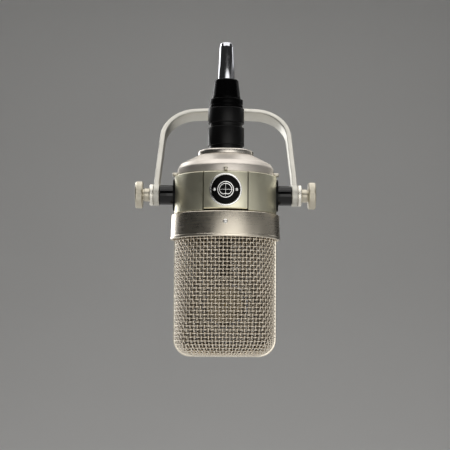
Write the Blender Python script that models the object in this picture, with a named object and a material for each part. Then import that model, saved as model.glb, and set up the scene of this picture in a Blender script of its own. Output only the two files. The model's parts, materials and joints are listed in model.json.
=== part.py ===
"""Large-diaphragm studio valve microphone in a tilting yoke bracket.

The microphone hangs upside down: connector and cable sleeve at the top, wire
grille at the bottom.  It turns about two trunnions in a bent strap bracket
whose threaded boss screws onto a microphone stand.

Units are metres, +Z is up, the grille's broad front faces -Y and the trunnion
axis runs along X.  The world origin is the centre of the stand boss's open end
face, which is where the whole object is held.
"""
import math

import bmesh
import bpy
from mathutils import Matrix, Vector

for old in list(bpy.data.objects):
    bpy.data.objects.remove(old, do_unlink=True)

# --------------------------------------------------------------------------
# Driving dimensions (metres, degrees)
# --------------------------------------------------------------------------
GAP = 0.0003                 # clearance between touching pieces
ROUND, MEDIUM, SMALL, TINY = 24, 16, 12, 8   # sides of round pieces, large to tiny

# bracket
LEAN = math.radians(28.0)    # the bracket leans back by this much
YOKE_HEIGHT = 0.0755         # trunnion axis to the strap's centre line
YOKE_EYE_X = 0.0506          # centre plane of each eye
YOKE_TOP_X = 0.0460          # where each leg's line would meet the top
YOKE_STRAP = 0.0038          # strap thickness
YOKE_WIDTH = 0.0115          # strap width
YOKE_BEND = 0.026            # bend radius of the two corners
YOKE_ARCH = 0.0020           # the top rises this much to its middle
EYE_R, EYE_T, EYE_BORE = 0.0080, 0.0040, 0.0051
BOSS_R, BOSS_LEN, BOSS_BORE, BOSS_FLOOR = 0.0105, 0.0180, 0.0079, 0.0045

# trunnions, measured outwards from the middle along X
SEAT_IN, SEAT_OUT, SEAT_R = 0.0352, 0.0391, 0.0117
SPACER_OUT, SPACER_R = 0.0483, 0.0073
BUSH_OUT, BUSH_R = 0.0554, 0.0079
NECK_OUT, NECK_R = 0.0602, 0.00485
KNOB_OUT, KNOB_R = 0.0658, 0.0099
STUD_R, STUD_END, STUD_HOLE = 0.0030, 0.0285, 0.0033

# housing, heights from the trunnion axis
BAND_R, BAND_WALL, BAND_TOP, BAND_FOOT = 0.0373, 0.0024, 0.0133, -0.0145
PANEL_HALF = math.radians(25.5)
RING_TOP_R, RING_R, RING_TOP, RING_FOOT = 0.0393, 0.0400, -0.0148, -0.0330
RING_LEDGE = -0.0275
CAP_R, CAP_SHOULDER_R, CAP_TOP_R = 0.0351, 0.0330, 0.0206
CAP_FOOT, CAP_WALL_TOP, CAP_SHOULDER, CAP_TOP = 0.0136, 0.0190, 0.0223, 0.0287
CAP_SCREW_Z, CAP_SCREW_R = 0.0152, 0.0015
BADGE_R = 0.0116

# grille
GRILLE_R, GRILLE_TOP, GRILLE_FOOT = 0.0373, -0.0314, -0.1176
GRILLE_CORNER, GRILLE_TOE = 0.0128, 0.0095
GRILLE_DEPTH_TOP, GRILLE_DEPTH_FOOT = 0.0372, 0.0205
WEDGE_START = -0.0345
GRILLE_WALL = 0.0011
FRAME_WIDTH, FRAME_T = 0.0030, 0.0016

# capsule
CAPSULE_Z, CAPSULE_R = -0.0800, 0.0170

# connector, heights from the trunnion axis
FLANGE_R, FLANGE_FOOT, FLANGE_TOP = 0.0203, 0.0290, 0.0326
NUT_R, NUT_FOOT, NUT_STEP, NUT_TOP = 0.0133, 0.0333, 0.0363, 0.0502
GROOVE_R, GROOVE_TOP = 0.0118, 0.0530
SHELL_R, SHELL_TOP = 0.0133, 0.0640
COLLAR_R, COLLAR_TOP = 0.0123, 0.0709
GLAND_R, GLAND_TOP_R, GLAND_TOP = 0.0104, 0.00875, 0.0857
SLEEVE_R, SLEEVE_TOP_R, SLEEVE_TOP, SLEEVE_BORE = 0.00615, 0.00495, 0.1138, 0.0037

BOSS_END = YOKE_HEIGHT + YOKE_STRAP / 2 + GAP + BOSS_LEN
TRUNNION = Vector((0.0, -BOSS_END * math.sin(LEAN), -BOSS_END * math.cos(LEAN)))


# --------------------------------------------------------------------------
# Materials
# --------------------------------------------------------------------------
def material(name, rgb, roughness, metallic, alpha=1.0):
    mat = bpy.data.materials.new(name)
    mat.use_nodes = True
    bsdf = mat.node_tree.nodes["Principled BSDF"]
    bsdf.inputs["Base Color"].default_value = (*rgb, 1.0)
    bsdf.inputs["Roughness"].default_value = roughness
    bsdf.inputs["Metallic"].default_value = metallic
    bsdf.inputs["Alpha"].default_value = alpha
    return mat


NICKEL = material("satin_nickel", (0.56, 0.53, 0.46), 0.32, 1.0)
CHROME = material("polished_chrome", (0.72, 0.72, 0.74), 0.08, 1.0)
WIRE = material("nickel_wire", (0.55, 0.50, 0.43), 0.30, 1.0)
BLACK = material("black_anodised", (0.02, 0.02, 0.022), 0.30, 0.6)
GLOSS = material("black_gloss", (0.012, 0.012, 0.014), 0.12, 0.0)
ENAMEL = material("black_enamel", (0.01, 0.01, 0.012), 0.18, 0.0)
SILVER = material("badge_silver", (0.78, 0.78, 0.78), 0.25, 1.0)
GOLD = material("gold_film", (0.90, 0.66, 0.30), 0.22, 1.0)
BRASS = material("brass", (0.72, 0.52, 0.25), 0.30, 1.0)
STEEL = material("steel", (0.50, 0.50, 0.50), 0.35, 1.0)
PHENOLIC = material("phenolic", (0.16, 0.09, 0.05), 0.55, 0.0)
PLASTIC = material("black_insulator", (0.03, 0.03, 0.03), 0.5, 0.0)
GLASS = material("valve_glass", (0.85, 0.88, 0.88), 0.05, 0.0, 0.35)
BOARD = material("circuit_board", (0.22, 0.17, 0.08), 0.6, 0.0)


# --------------------------------------------------------------------------
# Frames the pieces hang on
# --------------------------------------------------------------------------
def empty(name, location, parent=None, rotation=(0.0, 0.0, 0.0)):
    obj = bpy.data.objects.new(name, None)
    bpy.context.scene.collection.objects.link(obj)
    obj.parent = parent
    obj.location = location
    obj.rotation_euler = rotation
    return obj


YOKE = empty("yoke_frame", TRUNNION, rotation=(-LEAN, 0.0, 0.0))
MIC = empty("microphone_tilt_axis", TRUNNION)
PLUG = empty("plug_axis", (0.0, 0.0, 0.0), MIC)


# --------------------------------------------------------------------------
# Shape helpers
# --------------------------------------------------------------------------
def finish(name, bm, mat, parent, location=(0.0, 0.0, 0.0), crease=35.0):
    """Turn a bmesh into a named object with outward faces."""
    bmesh.ops.remove_doubles(bm, verts=bm.verts, dist=2e-6)
    bmesh.ops.recalc_face_normals(bm, faces=bm.faces)
    mesh = bpy.data.meshes.new(name)
    bm.to_mesh(mesh)
    bm.free()
    mesh.shade_smooth()
    mesh.set_sharp_from_angle(angle=math.radians(crease))
    if mat is not None:
        mesh.materials.append(mat)
    obj = bpy.data.objects.new(name, mesh)
    bpy.context.scene.collection.objects.link(obj)
    obj.parent = parent
    obj.location = location
    return obj


def rounded(corners, steps=3):
    """Closed outline from (a, b, radius) corners, each rounded by its radius."""
    out = []
    n = len(corners)
    for i, (a, b, r) in enumerate(corners):
        p = Vector((a, b))
        if r <= 0:
            out.append(p)
            continue
        to_prev = (Vector(corners[i - 1][:2]) - p).normalized()
        to_next = (Vector(corners[(i + 1) % n][:2]) - p).normalized()
        half = to_prev.angle(to_next) / 2
        reach = r / math.tan(half)
        centre = p + (to_prev + to_next).normalized() * (r / math.sin(half))
        start, stop = p + to_prev * reach - centre, p + to_next * reach - centre
        turn = start.angle_signed(stop)
        for k in range(steps + 1):
            c, s = math.cos(-turn * k / steps), math.sin(-turn * k / steps)
            out.append(centre + Vector((c * start.x - s * start.y, s * start.x + c * start.y)))
    return [(p.x, p.y) for p in out]


AXES = {
    "Z": Matrix.Identity(3),
    "+X": Matrix(((0, 0, 1), (0, 1, 0), (-1, 0, 0))),
    "-X": Matrix(((0, 0, -1), (0, 1, 0), (1, 0, 0))),
    "+Y": Matrix(((1, 0, 0), (0, 0, 1), (0, -1, 0))),
    "-Y": Matrix(((1, 0, 0), (0, 0, -1), (0, 1, 0))),
}


def turned_mesh(outline, segments, axis="Z", start=0.0, sweep=2 * math.pi):
    """Spin a closed (radius, height) outline about an axis."""
    bm = bmesh.new()
    verts = [bm.verts.new((r * math.cos(start), r * math.sin(start), h)) for r, h in outline]
    edges = []
    for i, v in enumerate(verts):
        w = verts[(i + 1) % len(verts)]
        if v.co.xy.length < 1e-7 and w.co.xy.length < 1e-7:
            continue
        edges.append(bm.edges.new((v, w)))
    full = sweep > 2 * math.pi - 1e-6
    bmesh.ops.spin(bm, geom=verts + edges, cent=(0, 0, 0), axis=(0, 0, 1), dvec=(0, 0, 0),
                   angle=sweep, steps=segments, use_merge=full, use_duplicate=False)
    bmesh.ops.remove_doubles(bm, verts=bm.verts, dist=2e-6)
    if not full:
        open_edges = [e for e in bm.edges if e.is_boundary]
        bmesh.ops.holes_fill(bm, edges=open_edges, sides=0)
    bmesh.ops.transform(bm, matrix=AXES[axis].to_4x4(), verts=bm.verts)
    return bm


def turned(name, outline, mat, parent, segments=ROUND, axis="Z", location=(0, 0, 0), **kw):
    return finish(name, turned_mesh(outline, segments, axis, **kw), mat, parent, location)


def disc(r_in, r_out, low, high, r_edge=0.0, steps=2):
    """Outline of a plain washer, tube or disc with rounded outer edges."""
    if r_in <= 0:
        return [(0, low)] + rounded([(r_out, low, r_edge), (r_out, high, r_edge)], steps)[0:] + [(0, high)] \
            if r_edge <= 0 else [(0, low)] + corner_pair(r_out, low, high, r_edge, steps) + [(0, high)]
    if r_edge <= 0:
        return [(r_in, low), (r_out, low), (r_out, high), (r_in, high)]
    return [(r_in, low)] + corner_pair(r_out, low, high, r_edge, steps) + [(r_in, high)]


def corner_pair(r_out, low, high, e, steps):
    pts = []
    for k in range(steps + 1):
        t = math.pi / 2 * k / steps
        pts.append((r_out - e + e * math.sin(t), low + e - e * math.cos(t)))
    for k in range(steps + 1):
        t = math.pi / 2 * k / steps
        pts.append((r_out - e + e * math.cos(t), high - e + e * math.sin(t)))
    return pts


def block(name, low, high, mat, parent, bevel=0.0):
    bm = bmesh.new()
    bmesh.ops.create_cube(bm, size=1.0)
    size = [h - l for l, h in zip(low, high)]
    mid = [(h + l) / 2 for l, h in zip(low, high)]
    bmesh.ops.scale(bm, vec=size, verts=bm.verts)
    bmesh.ops.translate(bm, vec=mid, verts=bm.verts)
    if bevel:
        bmesh.ops.bevel(bm, geom=list(bm.edges), offset=bevel, segments=1, affect="EDGES", profile=0.5)
    return finish(name, bm, mat, parent)


def sweep_strip(frames, section):
    """Skin a closed section carried along frames of (point, side, out)."""
    bm = bmesh.new()
    rings = []
    for point, side, out in frames:
        rings.append([bm.verts.new(point + side * a + out * b) for a, b in section])
    n = len(section)
    for one, two in zip(rings, rings[1:]):
        for i in range(n):
            bm.faces.new((one[i], one[(i + 1) % n], two[(i + 1) % n], two[i]))
    bm.faces.new(rings[0])
    bm.faces.new(rings[-1])
    return bm


def cutter(name, bm, parent):
    obj = finish(name, bm, None, parent)
    obj.hide_render = True
    obj.display_type = "WIRE"
    return obj


def boolean(target, other, operation, name):
    mod = target.modifiers.new(name, "BOOLEAN")
    mod.operation = operation
    mod.solver = "EXACT"
    mod.object = other


def drill(target, name, parent, radius, axis, low, high, at=(0, 0, 0), segments=16):
    """Cut a round hole along an axis between two distances from a point."""
    bm = turned_mesh([(0, low), (radius, low), (radius, high), (0, high)], segments, axis)
    bmesh.ops.translate(bm, vec=at, verts=bm.verts)
    boolean(target, cutter(name, bm, parent), "DIFFERENCE", name)


# --------------------------------------------------------------------------
# Yoke bracket and stand boss (in the leaning frame: X across, Z along the legs)
# --------------------------------------------------------------------------
def yoke_line():
    """Half of the strap's centre line in its plane, from the eye to the middle."""
    eye, knee = Vector((YOKE_EYE_X, 0.0)), Vector((YOKE_EYE_X, 0.0085))
    corner = Vector((YOKE_TOP_X, YOKE_HEIGHT - YOKE_ARCH))
    flat = Vector((0.0125, YOKE_HEIGHT))
    down, across = (knee - corner).normalized(), (flat - corner).normalized()
    half = down.angle(across) / 2
    reach = YOKE_BEND / math.tan(half)
    a, b = corner + down * reach, corner + across * reach
    centre = corner + (down + across).normalized() * (YOKE_BEND / math.sin(half))
    pts = [eye, knee.lerp(eye, 0.25), knee.lerp(a, 0.12), knee.lerp(a, 0.5), a]
    ra, rb = a - centre, b - centre
    turn = ra.angle_signed(rb)
    for k in range(1, 10):
        c, s = math.cos(-turn * k / 9), math.sin(-turn * k / 9)
        pts.append(centre + Vector((c * ra.x - s * ra.y, s * ra.x + c * ra.y)))
    pts += [b.lerp(flat, 0.6), flat, Vector((0.0, YOKE_HEIGHT))]
    return pts


half_line = yoke_line()
line = half_line + [Vector((-p.x, p.y)) for p in reversed(half_line[:-1])]
frames = []
for i, p in enumerate(line):
    before, after = line[max(i - 1, 0)], line[min(i + 1, len(line) - 1)]
    along = (after - before).normalized()
    out = Vector((along.y, -along.x))
    if out.dot(p - Vector((0.0, YOKE_HEIGHT * 0.4))) < 0:
        out = -out
    frames.append((Vector((p.x, 0.0, p.y)), Vector((0, 1, 0)), Vector((out.x, 0.0, out.y))))
edge = YOKE_STRAP * 0.30
strap_section = rounded([(-YOKE_WIDTH / 2, -YOKE_STRAP / 2, edge), (YOKE_WIDTH / 2, -YOKE_STRAP / 2, edge),
                         (YOKE_WIDTH / 2, YOKE_STRAP / 2, edge), (-YOKE_WIDTH / 2, YOKE_STRAP / 2, edge)], 1)
bracket = finish("yoke_bracket", sweep_strip(frames, strap_section), NICKEL, YOKE)
for side, s in (("left", -1), ("right", 1)):
    bm = turned_mesh(disc(0, EYE_R, YOKE_EYE_X - EYE_T / 2, YOKE_EYE_X + EYE_T / 2, 0.0006, 1), ROUND,
                     "+X" if s > 0 else "-X")
    boolean(bracket, cutter("eye_" + side, bm, YOKE), "UNION", "eye_" + side)
for side, s in (("left", -1), ("right", 1)):
    drill(bracket, "eye_bore_" + side, YOKE, EYE_BORE, "+X" if s > 0 else "-X", 0.040, 0.060, segments=MEDIUM)
drill(bracket, "boss_screw_hole", YOKE, 0.0034, "Z", YOKE_HEIGHT - 0.01, YOKE_HEIGHT + 0.01, segments=SMALL)

boss_foot = YOKE_HEIGHT + YOKE_STRAP / 2 + GAP
turned("stand_boss",
       [(0.0034, boss_foot)] + corner_pair(BOSS_R, boss_foot, BOSS_END, 0.0008, 1)
       + [(BOSS_BORE + 0.0006, BOSS_END), (BOSS_BORE, BOSS_END - 0.0006),
          (BOSS_BORE, boss_foot + BOSS_FLOOR), (0.0034, boss_foot + BOSS_FLOOR)],
       NICKEL, YOKE, ROUND)
head_top = YOKE_HEIGHT - YOKE_STRAP / 2 - GAP
turned("boss_screw",
       [(0, boss_foot + 0.0040), (0.0029, boss_foot + 0.0040), (0.0029, head_top), (0.0052, head_top),
        (0.0052, head_top - 0.0012), (0.0040, head_top - 0.0024), (0, head_top - 0.0026)],
       STEEL, YOKE, SMALL)

# --------------------------------------------------------------------------
# Trunnion stacks, left and right
# --------------------------------------------------------------------------
for side, s in (("left", -1), ("right", 1)):
    ax = "+X" if s > 0 else "-X"
    inner = SEAT_IN - GAP
    turned("pivot_nut_" + side, disc(STUD_HOLE, 0.0060, 0.0265, inner), BRASS, MIC, SMALL, ax)
    turned("trunnion_seat_" + side, disc(STUD_HOLE, SEAT_R, SEAT_IN, SEAT_OUT, 0.0006, 1), BLACK, MIC, ROUND, ax)
    turned("trunnion_spacer_" + side,
           [(STUD_HOLE, SEAT_OUT + GAP), (SPACER_R - 0.0004, SEAT_OUT + GAP), (SPACER_R, SEAT_OUT + 0.0008),
            (SPACER_R, SPACER_OUT - 0.0004), (SPACER_R - 0.0004, SPACER_OUT), (STUD_HOLE, SPACER_OUT)],
           GLOSS, MIC, MEDIUM, ax)
    eye_out = YOKE_EYE_X + EYE_T / 2 + GAP
    turned("pivot_bush_" + side,
           [(STUD_HOLE, SPACER_OUT + GAP), (EYE_BORE - GAP, SPACER_OUT + GAP), (EYE_BORE - GAP, eye_out)]
           + corner_pair(BUSH_R, eye_out, BUSH_OUT, 0.0005, 1) + [(STUD_HOLE, BUSH_OUT)],
           NICKEL, YOKE, MEDIUM, ax)
    turned("thumb_screw_" + side,
           [(0, STUD_END - 0.060), (STUD_R - 0.0006, STUD_END - 0.060), (STUD_R, STUD_END + 0.0006 - 0.060),
            (STUD_R, BUSH_OUT + GAP - 0.060), (NECK_R, BUSH_OUT + GAP - 0.060), (NECK_R, NECK_OUT - 0.060)]
           + corner_pair(KNOB_R, NECK_OUT + GAP - 0.060, KNOB_OUT - 0.060, 0.0007, 1)
           + [(0.0050, KNOB_OUT - 0.060), (0.0042, KNOB_OUT - 0.0006 - 0.060), (0, KNOB_OUT - 0.0006 - 0.060)],
           NICKEL, MIC, ROUND, ax, location=(s * 0.060, 0, 0))

# --------------------------------------------------------------------------
# Housing: band, front panel, badge, lower ring, cap
# --------------------------------------------------------------------------
front = -math.pi / 2
band_in = BAND_R - BAND_WALL
band_outline = [(band_in, BAND_FOOT), (BAND_R - 0.0004, BAND_FOOT), (BAND_R, BAND_FOOT + 0.0004),
                (BAND_R, BAND_TOP - 0.0005), (BAND_R - 0.0005, BAND_TOP), (band_in, BAND_TOP)]
band = turned("housing_band", band_outline, NICKEL, MIC, 28,
              start=front + PANEL_HALF, sweep=2 * math.pi - 2 * PANEL_HALF)
for side in ("left", "right"):
    drill(band, "trunnion_window_" + side, MIC, SEAT_R + GAP, "+X" if side == "right" else "-X",
          0.020, 0.045, segments=ROUND)
slit = 0.00022 / BAND_R
panel_outline = [(band_in, BAND_FOOT + 0.0012), (BAND_R - 0.0006, BAND_FOOT + 0.0012), (BAND_R, BAND_FOOT + 0.0018),
                 (BAND_R, BAND_TOP - 0.0005), (BAND_R - 0.0005, BAND_TOP), (band_in, BAND_TOP)]
panel = turned("front_panel", panel_outline, NICKEL, MIC, 8,
               start=front - PANEL_HALF + slit, sweep=2 * (PANEL_HALF - slit))


def bent_plate(name, r_in, r_out, low, high, mat, segments=MEDIUM):
    """A round plate or ring wrapped onto the housing's front."""
    bm = bmesh.new()
    loops = []
    radii = [r_in, r_out] if r_in > 0 else [r_out * 0.5, r_out]
    for level in (low, high):
        for rho in radii:
            ring = []
            for k in range(segments):
                t = 2 * math.pi * k / segments
                u, v = rho * math.cos(t), rho * math.sin(t)
                ring.append(bm.verts.new((level * math.sin(u / level), -level * math.cos(u / level), v)))
            loops.append(ring)

    def skin(one, two):
        for k in range(segments):
            j = (k + 1) % segments
            bm.faces.new((one[k], one[j], two[j], two[k]))

    skin(loops[0], loops[1])
    skin(loops[3], loops[2])
    skin(loops[1], loops[3])
    if r_in > 0:
        skin(loops[2], loops[0])
    else:
        for ring, level in ((loops[0], low), (loops[2], high)):
            hub = bm.verts.new((0, -level, 0))
            for k in range(segments):
                bm.faces.new((ring[k], ring[(k + 1) % segments], hub))
    return finish(name, bm, mat, MIC)


plate = bent_plate("badge_plate", 0, BADGE_R - 0.0013, BAND_R + GAP, BAND_R + 0.0010, ENAMEL)
bent_plate("badge_rim", BADGE_R - 0.0010, BADGE_R, BAND_R + GAP, BAND_R + 0.0013, SILVER)
for side, s in (("left", -1), ("right", 1)):
    x = s * 0.0078
    y = -math.sqrt(BAND_R ** 2 - x ** 2)
    shank = [(0, -0.0014), (0.0006, -0.0014), (0.0006, 0.0012)]
    dome = [(0.0012 * math.cos(t), 0.0013 + 0.0006 * math.sin(t))
            for t in (0, math.pi / 6, math.pi / 3)]
    turned("badge_rivet_" + side, shank + [(0.0012, 0.0012)] + dome + [(0, 0.0019)], SILVER, MIC, TINY, "-Y",
           location=(x, y, 0))
    for piece, tag in ((plate, "plate"), (panel, "panel")):
        drill(piece, "rivet_hole_%s_%s" % (tag, side), MIC, 0.0009, "-Y", -0.006, 0.004, (x, y, 0), TINY)

ring_outline = [(0.0349, RING_TOP), (RING_TOP_R - 0.0006, RING_TOP), (RING_TOP_R, RING_TOP - 0.0007),
                (RING_R, RING_FOOT + 0.0016), (RING_R, RING_FOOT + 0.0006), (RING_R - 0.0006, RING_FOOT),
                (0.0379, RING_FOOT), (0.0379, RING_LEDGE), (0.0349, RING_LEDGE)]
ring = turned("lower_ring", ring_outline, NICKEL, MIC, 32)
PIN_Z = -0.0225
drill(ring, "index_hole", MIC, 0.0013, "-Y", 0.030, 0.045, (0, 0, PIN_Z), TINY)
turned("index_pin",
       [(0, 0.0345), (0.0010, 0.0345), (0.0010, 0.0399), (0.0017, 0.0399)]
       + [(0.0017 * math.cos(t), 0.0402 + 0.0011 * math.sin(t)) for t in (0.3, 0.8, 1.2)]
       + [(0, 0.0413)],
       CHROME, MIC, TINY, "-Y", location=(0, 0, PIN_Z))

cap_outline = ([(0.0115, CAP_TOP), (CAP_TOP_R, CAP_TOP)]
               + [(CAP_SHOULDER_R, CAP_SHOULDER)]
               + [(CAP_SHOULDER_R + (CAP_R - CAP_SHOULDER_R) * math.sin(t),
                   CAP_WALL_TOP + (CAP_SHOULDER - 0.0005 - CAP_WALL_TOP) * math.cos(t))
                  for t in (0.5, 1.05, math.pi / 2)]
               + [(CAP_R, CAP_FOOT), (0.0330, CAP_FOOT), (0.0330, CAP_WALL_TOP - 0.0006),
                  (0.0308, CAP_SHOULDER - 0.0026), (0.0194, CAP_TOP - 0.0026), (0.0115, CAP_TOP - 0.0026)])
cap = turned("top_cap", cap_outline, NICKEL, MIC, 32)
for side, ax in (("front", "-Y"), ("back", "+Y"), ("left", "-X"), ("right", "+X")):
    drill(cap, "cap_screw_hole_" + side, MIC, 0.0012, ax, 0.030, 0.040, (0, 0, CAP_SCREW_Z), 8)
    turned("cap_screw_" + side,
           [(0, 0.0318), (0.0009, 0.0318), (0.0009, 0.0354), (CAP_SCREW_R, 0.0354), (CAP_SCREW_R, 0.0385),
            (0.0011, 0.0392), (0, 0.0394)],
           NICKEL, MIC, TINY, ax, location=(0, 0, CAP_SCREW_Z))

# --------------------------------------------------------------------------
# Grille: U-shaped frame, front and rear woven halves, fine inner mesh
# --------------------------------------------------------------------------
def grille_section(z, inset):
    """Side radius and half depth of the grille at a height."""
    r = GRILLE_R - inset
    t = min(max((WEDGE_START - z) / (WEDGE_START - GRILLE_FOOT), 0.0), 1.0)
    h = GRILLE_DEPTH_TOP + (GRILLE_DEPTH_FOOT - GRILLE_DEPTH_TOP) * t - inset
    foot = GRILLE_FOOT + inset
    for_r = foot + GRILLE_CORNER - z
    if for_r > 0:
        r -= GRILLE_CORNER - math.sqrt(max(GRILLE_CORNER ** 2 - for_r ** 2, 0.0))
    for_h = foot + GRILLE_TOE - z
    if for_h > 0:
        h -= GRILLE_TOE - math.sqrt(max(GRILLE_TOE ** 2 - for_h ** 2, 0.0))
    return r, min(h, r * 0.999)


def grille_levels(top, inset, straight=3, bend=4):
    foot = GRILLE_FOOT + inset
    knee = foot + GRILLE_CORNER
    zs = [top + (knee - top) * k / straight for k in range(straight + 1)]
    zs += [foot + GRILLE_CORNER * (1 - math.sin(math.pi / 2 * k / bend)) for k in range(1, bend + 1)]
    return zs


def half_outline(z, inset, edge_y, side, arc=4, flat=4):
    """Half section from +X round the front (side -1) or back (side +1) to -X."""
    r, h = grille_section(z, inset)
    first = math.asin(min(edge_y / r, 1.0))
    last = math.asin(min(h / r, 1.0))
    xs = []
    for k in range(arc + 1):
        t = first + (last - first) * k / arc
        xs.append((r * math.cos(t), r * math.sin(t)))
    reach = xs[-1][0]
    for k in range(1, flat):
        xs.append((reach * (1 - 2 * k / flat), h))
    xs += [(-x, y) for x, y in reversed(xs[:arc + 1])]
    return [(x, side * y) for x, y in xs]


def grille_half(name, side):
    bm = bmesh.new()
    edge_y = FRAME_WIDTH / 2 + GAP
    rows = []
    for z in grille_levels(GRILLE_TOP, 0.0):
        rows.append([bm.verts.new((x, y, z)) for x, y in half_outline(z, 0.0, edge_y, side)])
    last = half_outline(GRILLE_FOOT, 0.0, edge_y, side)
    for f in (0.5, 1.0):
        rows.append([bm.verts.new((x, y + (side * edge_y - y) * f, GRILLE_FOOT)) for x, y in last])
    for one, two in zip(rows, rows[1:]):
        for i in range(len(one) - 1):
            quad = (one[i], one[i + 1], two[i + 1], two[i])
            if (quad[2].co - quad[1].co).length < 1e-6 and (quad[3].co - quad[0].co).length < 1e-6:
                continue
            bm.faces.new(quad)
    bmesh.ops.remove_doubles(bm, verts=bm.verts, dist=2e-6)
    flat = [f for f in bm.faces if f.calc_area() < 1e-12]
    bmesh.ops.delete(bm, geom=flat, context="FACES")
    bmesh.ops.recalc_face_normals(bm, faces=bm.faces)
    probe = max(bm.faces, key=lambda f: f.calc_center_median().y * side)
    if probe.normal.y * side < 0:
        bmesh.ops.reverse_faces(bm, faces=bm.faces)
    mesh = bpy.data.meshes.new(name)
    bm.to_mesh(mesh)
    bm.free()
    mesh.shade_smooth()
    mesh.set_sharp_from_angle(angle=math.radians(35))
    mesh.materials.append(WIRE)
    obj = bpy.data.objects.new(name, mesh)
    bpy.context.scene.collection.objects.link(obj)
    obj.parent = MIC
    wall = obj.modifiers.new("wire_thickness", "SOLIDIFY")
    wall.thickness = GRILLE_WALL
    wall.offset = -1.0
    wall.use_even_offset = True
    return obj


grille_half("grille_front", -1)
grille_half("grille_rear", 1)

strap = []
for s in (1, -1):
    part = [Vector((s * GRILLE_R, 0, -0.0290)), Vector((s * GRILLE_R, 0, GRILLE_FOOT + GRILLE_CORNER))]
    for k in range(1, 7):
        t = math.pi / 2 * k / 6
        part.append(Vector((s * (GRILLE_R - GRILLE_CORNER + GRILLE_CORNER * math.cos(t)), 0,
                            GRILLE_FOOT + GRILLE_CORNER - GRILLE_CORNER * math.sin(t))))
    strap += part if s > 0 else list(reversed(part))
strap_frames = []
for i, p in enumerate(strap):
    along = (strap[min(i + 1, len(strap) - 1)] - strap[max(i - 1, 0)]).normalized()
    out = Vector((along.z, 0, -along.x))
    if out.dot(p - Vector((0, 0, -0.060))) < 0:
        out = -out
    strap_frames.append((p, Vector((0, 1, 0)), out))
half_w = FRAME_WIDTH / 2
u_frame = finish("grille_frame", sweep_strip(strap_frames, [(-half_w, -FRAME_T), (half_w, -FRAME_T),
                                                            (half_w, 0.0), (-half_w, 0.0)]), NICKEL, MIC)
base = turned_mesh(disc(GRILLE_R - 0.0017, GRILLE_R + 0.0002, -0.0310, -0.0279), ROUND)
boolean(u_frame, cutter("grille_base_ring", base, MIC), "UNION", "base_ring")


def inner_basket(name, inset, top):
    bm = bmesh.new()
    rows = []
    for z in grille_levels(top, inset, 2, 4):
        fronts = half_outline(z, inset, 0.0, -1, 4, 4)
        backs = half_outline(z, inset, 0.0, 1, 4, 4)
        loop = fronts + list(reversed(backs))[1:-1]
        rows.append([bm.verts.new((x, y, z)) for x, y in loop])
    n = len(rows[0])
    for one, two in zip(rows, rows[1:]):
        for i in range(n):
            bm.faces.new((one[i], one[(i + 1) % n], two[(i + 1) % n], two[i]))
    bm.faces.new(rows[-1])
    bmesh.ops.recalc_face_normals(bm, faces=bm.faces)
    if max(bm.faces, key=lambda f: f.calc_center_median().y).normal.y < 0:
        bmesh.ops.reverse_faces(bm, faces=bm.faces)
    mesh = bpy.data.meshes.new(name)
    bm.to_mesh(mesh)
    bm.free()
    mesh.shade_smooth()
    mesh.set_sharp_from_angle(angle=math.radians(35))
    mesh.materials.append(WIRE)
    obj = bpy.data.objects.new(name, mesh)
    bpy.context.scene.collection.objects.link(obj)
    obj.parent = MIC
    wall = obj.modifiers.new("mesh_thickness", "SOLIDIFY")
    wall.thickness = 0.0005
    wall.offset = -1.0
    return obj


inner_basket("inner_mesh", 0.0033, -0.0316)

# --------------------------------------------------------------------------
# Capsule on its post, under the head deck
# --------------------------------------------------------------------------
turned("head_deck", disc(0.0055, 0.0349, -0.0306, -0.0279), PLASTIC, MIC, MEDIUM)
at = (0, 0, CAPSULE_Z)
turned("capsule_backplate", disc(0.0013, CAPSULE_R, -0.0027, 0.0027), BRASS, MIC, MEDIUM, "-Y", at)
turned("capsule_mount_ring", disc(CAPSULE_R + GAP, 0.0220, -0.0042, 0.0042, 0.0010, 1), BLACK, MIC, MEDIUM, "-Y", at)
for side, ax in (("front", "-Y"), ("rear", "+Y")):
    turned("diaphragm_" + side, disc(0.0013, 0.0166, 0.0030, 0.0033), GOLD, MIC, MEDIUM, ax, at)
    turned("clamp_ring_" + side,
           [(0.0137, 0.0036), (CAPSULE_R, 0.0036)] + [(CAPSULE_R, 0.0056), (CAPSULE_R - 0.0006, 0.0062)]
           + [(0.0146, 0.0062), (0.0137, 0.0054)], CHROME, MIC, MEDIUM, ax, at)
    turned("terminal_screw_" + side,
           [(0, 0.0008), (0.0009, 0.0008), (0.0009, 0.0036), (0.0022, 0.0036), (0.0022, 0.0044), (0.0014, 0.0050),
            (0, 0.0051)], BRASS, MIC, TINY, ax, at)
post_foot = CAPSULE_Z + 0.0220 + GAP
turned("capsule_post",
       [(0, post_foot), (0.0060, post_foot), (0.0060, post_foot + 0.0030), (0.0042, post_foot + 0.0050),
        (0.0042, -0.0312), (0, -0.0312)], PLASTIC, MIC, SMALL)

# --------------------------------------------------------------------------
# Amplifier inside the housing
# --------------------------------------------------------------------------
turned("amplifier_deck", disc(0.0050, 0.0330, -0.0250, -0.0232), STEEL, MIC, MEDIUM)
turned("amplifier_top_plate", disc(0.0050, 0.0310, 0.0080, 0.0096), STEEL, MIC, MEDIUM)
for i, deg in enumerate((90, 210, 330)):
    a = math.radians(deg)
    turned("amplifier_pillar_%d" % (i + 1), disc(0, 0.0020, -0.0229, 0.0077), STEEL, MIC, 8,
           location=(0.026 * math.cos(a), 0.026 * math.sin(a), 0))
turned("valve_socket", disc(0.0020, 0.0080, -0.0229, -0.0200), PHENOLIC, MIC, SMALL, location=(-0.009, 0.008, 0))
turned("vacuum_valve",
       [(0, -0.0197), (0.0066, -0.0197), (0.0070, -0.0190), (0.0070, -0.0020), (0.0058, 0.0015), (0.0030, 0.0035),
        (0.0010, 0.0042), (0.0008, 0.0058), (0, 0.0060)], GLASS, MIC, SMALL, location=(-0.009, 0.008, 0))
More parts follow.
